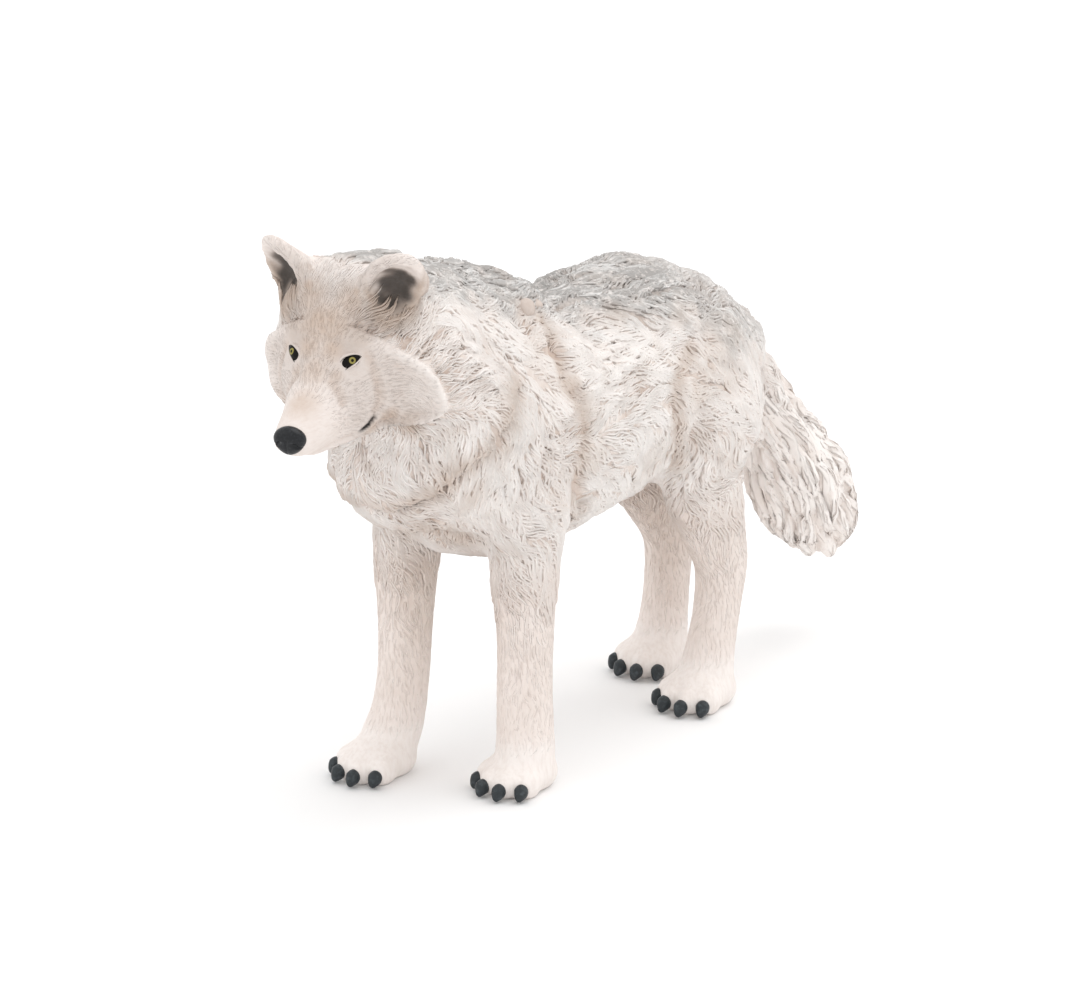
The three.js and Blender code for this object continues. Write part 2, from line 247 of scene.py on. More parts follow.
# legs and tail: [x, y, z, half width, half depth] down the limb
limbs = dict(
    forelegLeft=[
        [7.2, 5.5, 43.5, 0, 0], [7.3, 5.4, 37.5, 4.2, 6.8], [7.6, 5.4, 30.5, 4.1, 5.8],
        [7.5, 5.3, 24.5, 3.4, 4.2], [7.4, 5.5, 17.5, 3.0, 3.4], [7.2, 5.6, 11, 3.0, 3.3],
        [7.2, 5.7, 6.5, 3.1, 3.4], [7.3, 5.6, 3.4, 3.0, 3.4], [7.3, 5.4, 1.2, 0, 0]],
    forelegRight=[
        [-7.2, 4.6, 43.5, 0, 0], [-7.2, 4.4, 37.5, 4.2, 6.8], [-7.5, 3.8, 30.5, 4.2, 5.8],
        [-7.2, 3.1, 24.5, 3.5, 4.2], [-7.3, 2.9, 17.5, 3.0, 3.4], [-7.4, 2.6, 11, 2.9, 3.1],
        [-7.4, 1.7, 6.5, 3.0, 3.2], [-7.5, 0.3, 3.4, 3.0, 3.4], [-7.5, -0.3, 1.2, 0, 0]],
    hindlegLeft=[
        [6.0, 40, 48, 0, 0], [6.2, 39, 42, 4.0, 7.0], [6.9, 38, 35.5, 4.6, 8.2],
        [6.6, 37.4, 28.5, 4.1, 6.6], [6.2, 39.1, 22, 3.3, 4.6], [5.9, 41.5, 16.5, 2.8, 3.7],
        [5.8, 40.9, 10.5, 2.7, 3.0], [5.7, 39.9, 6, 2.9, 3.1], [5.7, 39.2, 3, 3.0, 3.3],
        [5.7, 38.9, 1.0, 0, 0]],
    hindlegRight=[
        [-6.0, 40.5, 48, 0, 0], [-6.2, 40, 42, 4.0, 7.0], [-6.8, 40, 35.5, 4.6, 8.2],
        [-6.4, 41.4, 28.5, 4.1, 6.8], [-6.1, 44.2, 22, 3.3, 4.7], [-5.9, 46.8, 16.5, 2.8, 3.6],
        [-5.8, 46.6, 10.5, 2.7, 3.0], [-5.8, 46.0, 6, 2.9, 3.1], [-5.8, 45.4, 3, 3.0, 3.3],
        [-5.8, 45.2, 1.0, 0, 0]],
    tail=[
        [0, 47, 44, 0, 0], [0, 50.8, 39.3, 2.9, 2.9], [0, 54.9, 32.7, 3.8, 4.1],
        [0, 59.4, 25.7, 4.8, 5.9], [0, 64.2, 19.4, 5.3, 7.1], [0, 69.6, 13.4, 4.6, 5.6],
        [0, 73.3, 9.8, 0, 0]],
)
paws = dict(
    forepaw_left=dict(at=(7.0, 5.5), turn=0, scale=0.87),
    forepaw_right=dict(at=(-7.4, -1.2), turn=-4, scale=0.87),
    hindpaw_left=dict(at=(5.7, 38.6), turn=0, scale=0.9),
    hindpaw_right=dict(at=(-5.8, 45.0), turn=0, scale=0.9),
)
pad = dict(half=(4.1, 4.9, 3.1), back=0.2, level=2.2, slope=12)
toe = dict(seats=[(-3.1, 2.3), (-1.15, 3.9), (1.15, 3.9), (3.1, 2.3)], half=(1.4, 2.5, 2.15), level=1.75,
           splay=7)
ear = dict(
    base=(-6.4, 5.5, 2.8), tip=(-5.3, 6.35, 9.6), facing=(0.5, 0.85, 0.05),
    flare=1.3, flareTo=5,  # the inner edge runs out onto the crown below this height
    # [along, back, front, half width, widest level] from the root to the tip
    sections=[
        [-1.6, 0, 0, 0, 0], [-0.4, 3.4, -2.0, 4.2, 0.1], [2.0, 2.8, -1.8, 4.0, 0],
        [4.4, 1.6, -1.5, 3.3, 0], [6.2, 0.8, -1.1, 2.4, -0.1], [7.2, -0.1, -0.1, 0, -0.1]],
    cup=dict(half=(2.8, 2.3, 3.1), forward=1.5, level=2.9, behind=0.05),
)


def pawPlace(paw):
    return turned(*paw["at"], 0, 0, 0, paw["turn"]) @ scaled(*[paw["scale"]] * 3)


def toePlace(paw, seat):
    return pawPlace(paw) @ turned(seat[0], -seat[1], toe["level"], 0, 0, seat[0] * toe["splay"] / 2)


def earPlace(side):
    # z runs from the ear's root to its tip, and -y looks out of the cup
    base, tip = [Vector((side * s, -f, u)) for f, s, u in (ear["base"], ear["tip"])]
    z = (tip - base).normalized()
    y = Vector((-side * ear["facing"][0], ear["facing"][1], -ear["facing"][2]))
    y = (y - y.dot(z) * z).normalized()
    axes = Matrix((y.cross(z), y, z)).transposed().to_4x4()
    return headPlace @ Matrix.Translation(base) @ axes


def earCoords(points, side):
    # across, back and along of points, in an ear's own axes
    back = np.array(earPlace(side).inverted())
    return (points @ back[:3, :3].T + back[:3, 3]).T


def earShell(side):
    # an ear whose front is pressed back into a cup
    def spot(across, along, back):
        low = max(1 - max(along, 0) / ear["flareTo"], 0)
        return Vector((across - side * ear["flare"] * low * low, back, along))
    bm = crossLoft(ear["sections"], spot, 72, 72)
    cup = ear["cup"]
    wide, deep, tall = cup["half"]
    for v in bm.verts:
        inside = 1 - (v.co.x / wide) ** 2 - ((v.co.z - cup["level"]) / tall) ** 2
        if inside > 0 and v.co.y < cup["behind"]:
            v.co.y = max(v.co.y, deep * math.sqrt(inside) - cup["forward"])
    return moved(bm, earPlace(side))


def blankParts():
    parts = [crossLoft(body["trunk"], lambda side, along, up: Vector((side, along, up)), 96, 110),
             crossLoft(body["skull"], inHead, 80, 90), crossLoft(body["jaw"], inHead, 48, 48),
             ball(body["ruff"]["half"], turned(*body["ruff"]["at"]), 64, 48)]
    parts += [limbLoft(rows, 56, 80) for rows in limbs.values()]
    parts += [earShell(side) for side in (1, -1)]
    for paw in paws.values():
        parts.append(ball(pad["half"], pawPlace(paw) @ turned(0, pad["back"], pad["level"], -pad["slope"])))
        parts += [ball(toe["half"], toePlace(paw, seat)) for seat in toe["seats"]]
    return parts


skinMake = dict(voxel=0.57, soften=4, softer=0.5, rounder=0.6)


def finePlaces(points):
    # the face, ears, paws and tail get a mesh twice as fine
    _, forward, up = headCoords(points)
    return ((forward > -9) & (up > -9.6)) | (points[:, 2] < 5.2) | (alongTail(points)[0] > 2)


def makeBlank():
    blank = newObject("skinBlank", gather(blankParts()))
    fuse = blank.modifiers.new("fuse", "REMESH")
    fuse.mode = "VOXEL"
    fuse.voxel_size = skinMake["voxel"]
    seen = bpy.context.evaluated_depsgraph_get()
    mesh = bpy.data.meshes.new_from_object(blank.evaluated_get(seen))
    bpy.data.objects.remove(blank)
    bm = bmesh.new()
    bm.from_mesh(mesh)
    bpy.data.meshes.remove(mesh)
    for _ in range(skinMake["soften"]):
        bmesh.ops.smooth_vert(bm, verts=bm.verts, factor=skinMake["softer"],
                              use_axis_x=True, use_axis_y=True, use_axis_z=True)
    fine = finePlaces(np.array([v.co for v in bm.verts]))
    edges = [e for e in bm.edges if fine[e.verts[0].index] and fine[e.verts[1].index]]
    bmesh.ops.subdivide_edges(bm, edges=edges, cuts=1, use_grid_fill=True, smooth=skinMake["rounder"])
    bmesh.ops.triangulate(bm, faces=[f for f in bm.faces if len(f.verts) > 4])
    return newObject("skin", bm)


# Zones of the coat and the lie of the hair

topLine = np.array(body["trunk"])[:, :3]  # y, top and bottom of the trunk
tailLine = dict(root=(0, 51, 39.6), lean=34)
# folds of the moulding on both flanks: places on the figure
folds = dict(
    bib=[(0, -12.6, 33.6), (3.5, -11.2, 33.4), (6.6, -9, 35.4), (8.5, -7, 37.8), (9.9, -3.6, 39.8),
         (10.8, -1.2, 43), (10.6, 0.2, 46.4)],
    shoulder=[(7.7, 8.4, 51), (9.1, 7.8, 48.9), (11, 7.8, 45.5), (11.6, 9.8, 42.5), (11.5, 10.5, 38.4),
              (10.9, 10.3, 34.5), (9.2, 10.7, 30.6)],
    hip=[(9.8, 30.3, 43.6), (10.5, 27.8, 41.7), (10.6, 26.8, 39.2), (10.4, 27.3, 36.8), (9.3, 29.4, 33.8),
         (7.5, 31, 30.6)],
)
# rough hair over the withers
crest = dict(line=[(0, 0, 57.8), (1, 4, 56.8), (2.5, 8, 55.2), (4.5, 10, 53)], reach=3.6, more=1.2)
dents = dict(
    at=[(10.2, 20, 35.5), (10.6, 22.6, 39.3), (10, 17, 32), (8.6, 25.2, 31.4), (9.6, 4.7, 49),
        (11.1, 7.6, 45.3), (10.1, 30.5, 43.1), (9.4, 32.2, 33.4), (9.2, -3.4, 49.8), (10.7, 1.6, 45.4)],
    reach=1.1, deep=0.45,
)
# how far forward the bare face ends, by height, in the head's axes
faceEdge = dict(up=[-10, -9, -8.4, -7.6, -5.8, -4, -2.4, -1, 0.6, 2, 3.5, 6],
                forward=[3, 0.3, -1.8, -2.9, -3.2, -3.4, -3.2, -2.8, -2.2, -1.4, -0.8, -1.5])


def pastEdge(forward, up):
    # how far a place on the head lies forward of the bare face's edge
    return forward - np.interp(up, faceEdge["up"], faceEdge["forward"])


def tailWay():
    lean = math.radians(tailLine["lean"])
    return np.array([0, math.sin(lean), -math.cos(lean)])


def alongTail(points):
    # distance down the tail from its root, and off its axis
    off = points - tailLine["root"]
    along = off @ tailWay()
    return along, np.linalg.norm(off - along[:, None] * tailWay(), axis=1)


def lineDistance(points, line):
    # distance to a folded line that is the same on both flanks, and how far above it
    p = mirrored(points)
    best = np.full(len(p), np.inf)
    above = np.zeros(len(p))
    for a, b in zip(np.array(line[:-1], float), np.array(line[1:], float)):
        t = np.clip(((p - a) @ (b - a)) / ((b - a) @ (b - a)), 0, 1)
        gap = p - (a + t[:, None] * (b - a))
        far = np.linalg.norm(gap, axis=1)
        better = far < best
        best = np.where(better, far, best)
        above = np.where(better, gap[:, 2], above)
    return best, above


# between which two values each zone sets in, mm: z and y on the figure, or in the axes of the head or an ear
zoneEdges = dict(
    tail=dict(along=(1.5, 6), off=(10, 8.5)), legs=(28.5, 22.5), paws=(6.4, 4.6),
    head=dict(forward=(-9.5, -7), up=(-11, -9)),
    ears=dict(tall=(0.2, 1.4), across=(5.2, 4.2), behind=(4.2, 3), before=(-4, -3)),
    crown=dict(above=(-0.4, 0.6), forward=(-7.5, -5.5)), bare=(-0.7, -0.1),
    neck=(7, -1), front=dict(y=(0, -9), z=(34, 24)),
)
browLine = dict(up=1.4, arch=1.8, at=3.4, reach=2.8)  # where the crown's hair begins over each eye


def zonesOf(points):
    # the share that each place on the figure has in each zone, 0 to 1, and how far down the flank it lies
    edges = zoneEdges
    side, forward, up = headCoords(points)
    x, y, z = points.T
    along, off = alongTail(points)
    zone = {}
    zone["tail"] = smoothStep(along, *edges["tail"]["along"]) * smoothStep(off, *edges["tail"]["off"])
    zone["legs"] = smoothStep(z, *edges["legs"]) * (1 - zone["tail"])
    zone["paws"] = smoothStep(z, *edges["paws"])
    zone["head"] = smoothStep(forward, *edges["head"]["forward"]) * smoothStep(up, *edges["head"]["up"])
    zone["ears"] = np.zeros(len(points))
    for sign in (1, -1):
        across, back, tall = earCoords(points, sign)
        ear = edges["ears"]
        here = smoothStep(tall, *ear["tall"]) * smoothStep(np.abs(across), *ear["across"])
        here = here * smoothStep(back, *ear["behind"]) * smoothStep(back, *ear["before"])
        zone["ears"] = np.maximum(zone["ears"], here)
    brow = browLine["up"] + browLine["arch"] * near((np.abs(side) - browLine["at"]) / browLine["reach"], 1)
    over = smoothStep(up - brow, *edges["crown"]["above"])
    zone["crown"] = over * smoothStep(forward, *edges["crown"]["forward"]) * zone["head"]
    zone["bare"] = smoothStep(pastEdge(forward, up), *edges["bare"]) * zone["head"]
    top, bottom = [np.interp(y, topLine[:, 0], topLine[:, i]) for i in (1, 2)]
    zone["fall"] = np.clip((top - z) / np.maximum(top - bottom, 1), 0, 1.2)
    zone["neck"] = smoothStep(y + 0.25 * (z - 45), *edges["neck"]) * (1 - zone["head"]) * (1 - zone["legs"])
    low = smoothStep(z - 1.2 * np.abs(x), *edges["front"]["z"])
    zone["front"] = smoothStep(y, *edges["front"]["y"]) * low * (1 - zone["head"])
    zone["furry"] = (1 - np.maximum(zone["bare"], zone["crown"])) * (1 - zone["legs"]) * (1 - zone["ears"])
    zone["furry"] *= 1 - zone["paws"]
    return zone


def lieOf(points, normals):
    # the way the hair lies, square to the surface's normal
    zone = zonesOf(points)
    side, _, up = headCoords(points)
    x = points[:, 0]
    fall = zone["fall"]

    def rows(a, b, c):
        return np.stack(np.broadcast_arrays(np.asarray(a, float), b, c, x)[:3], 1)
    # on the head the hair runs back from the nose, up over the brow and out over the cheeks
    rise = np.where(up > -1, 0.35, -0.10 * (-1 - up).clip(0, 6))
    onHead = rows(np.clip(side / 5, -1, 1) * 0.55, 1.0, rise)
    lies = dict(
        neck=rows(0.25 * np.sign(x), 0.75, -0.15 - 1.6 * smoothStep(fall, 0.12, 0.55)),
        front=rows(0.4 * np.clip(x / 8, -1, 1), 0.15, -1), legs=rows(0, 0.12, -1), paws=rows(0, -1, -0.45),
        tail=rows(*tailWay()), head=onHead @ np.array(headPlace.to_3x3()).T)
    way = rows(0, 1.0, -0.12 - 1.6 * smoothStep(fall, 0.25, 0.75) * smoothStep(fall, 1.05, 0.9))
    for name, lie in lies.items():
        way = way + (unit(lie) - way) * zone[name][:, None]
    swirl = (0.5 * ripple(points, 5.5, 3) + 0.3 * ripple(points, 2.6, 4)) * (1 - 0.75 * zone["legs"])
    swirl *= (1 - 0.7 * zone["head"]) * (1 - 0.5 * zone["tail"])
    way = unit(way - (way * normals).sum(1)[:, None] * normals)
    across = np.cross(normals, way)
    return way * np.cos(swirl)[:, None] + across * np.sin(swirl)[:, None]


# Lobes are the larger tufts that the moulded coat is divided into: the spacing of their middles, length over
# width, the bend of the grooves between them, and the grooves' depth, mm
lobeKinds = dict(
    trunk=dict(spacing=2.8, stretch=3.4, bend=0.6, bendSize=3.4, deep=0.5, seed=51),
    tail=dict(spacing=4.4, stretch=4.8, bend=0.75, bendSize=7, deep=0.8, seed=52),
)


def plantLobes(points, normals, rows, kind):
    dice = np.random.default_rng(kind["seed"])
    rows = dice.permutation(rows)
    _, first = np.unique(np.floor(points[rows] / kind["spacing"]).astype(int), axis=0, return_index=True)
    rows = rows[first]
    tree = KDTree(len(rows))
    for i, p in enumerate(points[rows]):
        tree.insert(p, i)
    tree.balance()
    return dict(kind, at=points[rows], lie=lieOf(points[rows], normals[rows]), tree=tree)


def lobeAt(points, lobes):
    # for each place its lobe, how far it is from a groove (0 to 1) and how near the lobe's tip (-1 to 1)
    bent = shaken(points, lobes["bend"], lobes["bendSize"], (41, 42, 43))
    found = np.array([[i for _, i, _ in lobes["tree"].find_n(p, 12)] for p in bent])
    off = bent[:, None] - lobes["at"][found]
    lie = lobes["lie"][found]
    along = (off * lie).sum(2)
    far = np.hypot(along / lobes["stretch"], np.linalg.norm(off - along[:, :, None] * lie, axis=2))
    rows = np.arange(len(points))
    order = np.argsort(far, 1)
    first, second = far[rows, order[:, 0]], far[rows, order[:, 1]]
    tip = along[rows, order[:, 0]] / (lobes["spacing"] * math.sqrt(lobes["stretch"]) * 0.6)
    return found[rows, order[:, 0]], (second - first) / np.maximum(second + first, 1e-6), np.clip(tip, -1, 1)


# Painted markings and the face's painted shade, the same for the skin and every lock

marks = dict(
    # depth of the grey saddle below the back line, along the back: y, mm
    saddle=dict(y=[-16, -8, -3.6, 4.5, 9, 12, 16, 21, 27, 33, 36, 38, 41, 46, 50],
                deep=[2, 3.4, 4.4, 4.7, 4, 3, 3.2, 4.8, 5.6, 6.9, 8.2, 10, 8.5, 6, 4]),
    # beige brushed on both flanks: place on the figure, reach and strength
    flank=[((10.4, 12.4, 36), 3.6, 0.75), ((11, 11.5, 41), 3, 0.5), ((8, 13, 29), 4, 0.7),
           ((8, 26, 33), 6, 0.4), ((10.2, 31, 39), 4.4, 0.7), ((9.4, 32, 33.5), 4, 0.6),
           ((9.5, 35, 42), 6, 0.45), ((3, -5, 29.5), 6, 1.2), ((8.6, -7.8, 43.6), 3, 0.6),
           ((10.8, -1, 42.4), 2.6, 0.8), ((9.9, -1.5, 39.7), 2.4, 0.7), ((8.3, -4.4, 35), 3.4, 0.7),
           ((3.6, -1, 29), 4, 1.1), ((6.8, 21.5, 49.6), 2.4, 0.8), ((9, 30, 47.6), 2.2, 0.6),
           ((9.3, 39, 43.5), 3, 0.5), ((8.8, 5.5, 49), 3.4, 0.55), ((6, 6, 52), 3, 0.5)],
    # beige and brown on the head, in its own axes: side, forward, up
    head=[((0.5, -0.9, 3.2), 3.6, 1.0), ((1.2, 0.9, 1.5), 2.2, 0.9), ((2.2, -3.2, 4.4), 3.0, 0.75),
          ((0, 3.2, 0.6), 2.6, 0.75), ((0, 6.8, -0.8), 2.8, 0.8), ((5.2, -3.9, 3.4), 1.9, 1.0),
          ((4.4, -3.7, 4.4), 1.4, 0.9), ((2.6, -3.7, 5.4), 1.1, 0.9), ((6.6, -4.6, 2), 2.2, 0.6),
          ((3.4, -1.0, 2.0), 2.4, 0.4), ((2.2, 2.6, -0.4), 1.3, 0.6), ((5.6, -1.0, -7.6), 1.7, 0.9),
          ((4.0, 0.4, -8.4), 1.6, 0.9), ((7.4, -1.8, -9.2), 2.4, 0.8)],
    # beige along folds of the coat and creases of the face: strength and reach
    folds=dict(bib=(0.8, 2.2), shoulder=(0.75, 2.2), hip=(0.75, 2.2)), creases=dict(cheek=0.4, muzzle=0.6),
)


def brushed(points, patches):
    total = np.zeros(len(points))
    for at, reach, share in patches:
        total = np.maximum(total, share * near(np.linalg.norm(mirrored(points) - at, axis=1), reach))
    return total


def earHollow(points, lift, low, high):
    # 1 inside the cups of the ears, fading between low and high towards the rim
    best = np.zeros(len(points))
    wide, _, tall = ear["cup"]["half"]
    for side in (1, -1):
        x, y, z = earCoords(points, side)
        inside = 1 - (x / wide) ** 2 - ((z - ear["cup"]["level"] - lift) / tall) ** 2
        best = np.maximum(best, smoothStep(inside, low, high) * smoothStep(y, 1.4, 1) * (y > -3.5))
    return best


def markingsOf(points):
    zone = zonesOf(points)
    side, forward, up = headCoords(points)
    x, y, z = points.T
    rough = 0.5 * ripple(points, 3.2, 21) + 0.5 * ripple(points, 1.3, 22)
    top = np.interp(y, topLine[:, 0], topLine[:, 1])
    under = top - z + 1.3 * rough
    band = np.interp(y, marks["saddle"]["y"], marks["saddle"]["deep"])
    saddle = smoothStep(band - under, -1.8, 3.2) * (1 - zone["tail"]) * (1 - 0.3 * smoothStep(y, 31, 37))
    saddle *= (1 - zone["ears"]) * (1 - zone["head"] * smoothStep(forward, -9.5, -7.5))
    poll = near(np.hypot(side / 5.5, (forward + 6) / 5), 1) * smoothStep(up, 2.5, 4.5)
    # the lower end of each ear's cup, where brown and grey run out onto the head
    foot = earHollow(points, -0.8, -1.2, 0.4) * (1 - earHollow(points, 1.6, -0.3, 0.2))
    saddle = np.maximum.reduce([saddle, 0.3 * poll, 0.7 * foot])
    wash = np.maximum(foot, 0.7 * brushed(points, marks["flank"]) * (1 - zone["head"]))
    onHead = brushed(np.stack([side, forward, up], 1), marks["head"]) * smoothStep(forward, -10, -8)
    wash = np.maximum(wash, onHead)
    for name, (share, reach) in marks["folds"].items():
        wash = np.maximum(wash, share * near(lineDistance(points, folds[name])[0], reach))
    for name, share in marks["creases"].items():
        wash = np.maximum(wash, share * near(headLine(points, creases[name]), 0.9))
    inner = smoothStep(np.abs(x), 7.5, 4.5) * smoothStep(z, 6, 20) * (1 - zone["tail"])
    wash += zone["legs"] * (0.3 * inner + 0.2 * smoothStep(z, 5, 9))
    wash += 0.2 * smoothStep(rough, -0.1, 1.0) * zone["furry"] + 0.06 * zone["tail"]
    pale = smoothStep(y, 7, 13) * smoothStep(y, 31, 25) * smoothStep(zone["fall"], 0.12, 0.3)
    pale = np.maximum(pale * (1 - zone["legs"]), 0.5 * zone["furry"] * (1 - zone["tail"]))
    inside = pastEdge(forward, up)
    # painted highlight: the raised rim along the bare face's edge, below the eyes, is paler
    rim = near(inside - 0.1, 1.2) * smoothStep(up, 0.5, -1)
    pale = np.maximum.reduce([pale, 0.4 * zone["paws"], 0.5 * rim * zone["head"], 0.5 * zone["tail"]])
    # painted shade: the face and the top of the head are darker than the coat, least on the sides of the
    # muzzle and most over the brows
    face = smoothStep(inside, -0.4, 1.2) * (0.65 - 0.4 * smoothStep(forward, 2, 5))
    brow = 0.5 * near((np.abs(side) - 3) / 3, 1) * near(up - 2.2, 2)
    dusk = zone["head"] * np.maximum(face * smoothStep(up, 5, 1), 0.75 * smoothStep(up, -1, 3))
    dusk = (dusk + brow) * smoothStep(forward, -7, -3)
    return dict(saddle=np.clip(saddle, 0, 1), wash=np.clip(wash, 0, 1), pale=pale, dusk=np.clip(dusk, 0, 1))


# Sculpting the skin

relief = dict(
    coatDepth=0.38, tailDepth=0.3, legDepth=0.12, faceDepth=0.06,  # how far the skin lies inside the figure
    # heights and depths of the larger forms
    bib=0.55, shoulder=0.5, hip=0.45, rim=0.6, withers=0.6, socket=0.24, brow=0.22, cheek=0.3, muzzle=0.22,
    bibReach=(2.6, 1.8), foldReach=1.7, withersReach=3, grooveEdge=0.42,
)
# the face, in the head's axes: side, forward, up
eyes = dict(inner=(2.4, 1.6, 0.05), outer=(4.0, 0, 0.35), tall=0.6, low=0.32, ball=(1.08, 0.62, 0.42),
            rise=0.1)
mouth = dict(line=[(1.3, 9.7, -5.6), (2, 8, -6.2), (2.7, 5.4, -7), (3.8, 2.1, -7.75), (4.2, 0.95, -7.6),
                   (4.55, 0.3, -7.2)], deep=0.34, wide=0.7)
# shallow creases before the cheek and under the eye
creases = dict(
    cheek=[(4.5, -0.5, 0.2), (4.9, -0.4, -0.9), (5.3, -0.1, -3.1), (5.4, 0.05, -4.9), (4.9, 0.3, -6.3)],
    muzzle=[(2.2, 2.4, 0), (2, 3.2, -0.6), (2.9, 3.6, -1.7), (3.3, 3.8, -2.8)],
)
# soft swellings over and under the eye and at the lip, and the cheek's hollow: place, reach, stretch, height
swells = [((3.3, -0.2, 2), 1.8, (1.2, 1, 0.6), 0.42), ((3.7, 1.4, -3), 2.5, (1, 1, 1), 0.3),
          ((2.4, 6.4, -4.8), 2.2, (1, 1.6, 1), 0.18), ((8.2, -2.2, -5.7), 2.8, (1, 1, 1), -0.42)]


def headLine(points, line):
    # distance in the head's axes to a line that is the same on both sides
    return lineDistance(np.stack(headCoords(points), 1), line)[0]


def besides(points, at, stretch=(1, 1, 1)):
    # distance to a place that is the same on both sides of the head
    side, forward, up = headCoords(points)
    return np.linalg.norm((np.stack([np.abs(side), forward, up], 1) - at) / stretch, axis=1)


def eyeGap(points):
    return besides(points, np.add(eyes["inner"], eyes["outer"]) / 2)


def sculptFace(p, zone):
    side, forward, up = headCoords(p)
    edge = pastEdge(forward, up)
    rimHere = smoothStep(up, 0.4, -1.2) * smoothStep(up, -9.6, -8.6) * zone["head"]
    raised = (relief["rim"] * near(edge, 1) - 0.25 * near(edge - 1.6, 1.2)) * rimHere
    for at, reach, stretch, height in swells:
        raised += height * near(besides(p, at, stretch), reach)
    raised -= relief["socket"] * near(eyeGap(p), 1.9)
    furrow = near(np.hypot(side, 0.6 * (up - 2.3)), 1.3) * smoothStep(np.abs(forward + 0.6), 3, 1)
    raised -= relief["brow"] * furrow + relief["cheek"] * near(headLine(p, creases["cheek"]), 0.9)
    raised -= relief["muzzle"] * near(headLine(p, creases["muzzle"]), 0.8)
    return raised - mouth["deep"] * near(headLine(p, mouth["line"]), mouth["wide"])


def sculpt(obj):
    # returns how deep in a groove between two lobes each vertex lies, 0 to 1
    mesh = obj.data
    p, n = places(mesh), normalsOf(mesh)
    zone = zonesOf(p)
    depth = relief["coatDepth"] + (relief["legDepth"] - relief["coatDepth"]) * zone["legs"]
    depth += (relief["tailDepth"] - depth) * zone["tail"]
    bare = np.maximum.reduce([zone["bare"], zone["crown"], zone["ears"], zone["paws"]])
    depth += (relief["faceDepth"] - depth) * bare
    raised = -depth
    furry = zone["furry"] * (1 - zone["tail"])
    groove = np.zeros(len(p))
    for name, share in (("trunk", furry), ("tail", zone["tail"])):
        rows = np.flatnonzero(share > 0.02)
        lobes[name] = plantLobes(p, n, rows, lobeKinds[name])
        _, ridge, tip = lobeAt(p[rows], lobes[name])
        varied = 0.3 + 0.7 * smoothStep(ripple(p[rows], 5.5, 13), -0.6, 0.7) if name == "trunk" else 1
        inGroove = (1 - smoothStep(ridge, 0, relief["grooveEdge"])) * varied
        raised[rows] += share[rows] * lobes[name]["deep"] * (0.3 * tip - inGroove)
        groove[rows] = np.maximum(groove[rows], inGroove * share[rows])
    raised += furry * (0.2 * ripple(p, 4.2, 11) + 0.08 * ripple(p, 1.8, 12))
    fold, above = lineDistance(p, folds["bib"])
    over, under = relief["bibReach"]
    raised += relief["bib"] * np.where(above > 0, near(fold, over) * 0.5, -near(fold, under)) * furry
    for name in ("shoulder", "hip"):
        fold = near(lineDistance(p, folds[name])[0], relief["foldReach"])
        raised -= relief[name] * fold
        groove = np.maximum(groove, 0.6 * fold * furry)
    for at in dents["at"]:
        dent = near(np.linalg.norm(p * (1, 1, 0.7) - np.multiply(at, (1, 1, 0.7)), axis=1), dents["reach"])
        raised -= dents["deep"] * dent
        groove = np.maximum(groove, dent)
    raised += relief["withers"] * near(lineDistance(p, crest["line"])[0], relief["withersReach"])
    raised += sculptFace(p, zone)
    p = p + n * raised[:, None]
    p[:, 2] = np.maximum(p[:, 2], 0)
    setPlaces(mesh, p)
    return groove


def hollowness(mesh, rounds):
    # how far each vertex lies below the mean of its neighbourhood, mm
    ends = np.empty(len(mesh.edges) * 2, np.int32)
    mesh.edges.foreach_get("vertices", ends)
    a, b = ends.reshape(-1, 2).T
    both, other = np.concatenate([a, b]), np.concatenate([b, a])
    count = np.maximum(np.bincount(both, minlength=len(mesh.vertices)), 1)
    p = places(mesh)
    mean = p
    for _ in range(rounds):
        mean = np.stack([np.bincount(both, mean[other, i], len(p)) / count for i in range(3)], 1)
    return ((mean - p) * normalsOf(mesh)).sum(1)


def unwrap(obj):
    # the map for baking: islands cut from the skin's own shape
    bpy.context.view_layer.objects.active = obj
    obj.select_set(True)
    bpy.ops.object.mode_set(mode="EDIT")
    bpy.ops.mesh.select_all(action="SELECT")
    bpy.ops.uv.smart_project(angle_limit=math.radians(66), island_margin=0.002)
    bpy.ops.object.mode_set(mode="OBJECT")
    obj.select_set(False)
    obj.data.uv_layers.active.name = "OFBake"


lobes = {}
skin = makeBlank()
mesh = skin.data
blankTree = surfaceTree(mesh)
unwrap(skin)
groove = sculpt(skin)
print("skin", len(mesh.vertices), "vertices", sum(len(f.vertices) - 2 for f in mesh.polygons), "triangles")


# Separate pieces of the face and feet

def eyePlace(side):
    # z looks out of the eye, x runs from its inner to its outer corner
    inner, outer = [inHead(side * s, f, u) for s, f, u in (eyes["inner"], eyes["outer"])]
    spot, out, _, _ = blankTree.find_nearest((inner + outer) / 2)
    x = (outer - inner).normalized()
    z = (out - out.dot(x) * x).normalized()
    return Matrix.Translation(spot) @ Matrix((x, z.cross(x) * side, z)).transposed().to_4x4()


gaze = dict(at=(0.12, 0.06), iris=0.37, pupil=0.13)  # where the iris is painted in the eye's opening


def makeEyeball(place):
    bm = ball(eyes["ball"], Matrix.Translation((0, 0, eyes["rise"] - eyes["ball"][2])), 64, 48)
    x, y = gaze["at"]
    aside = [math.hypot(v.co.x - x, v.co.y - y) + 9 * (v.co.z < -0.6) for v in bm.verts]
    return moved(bm, place), aside


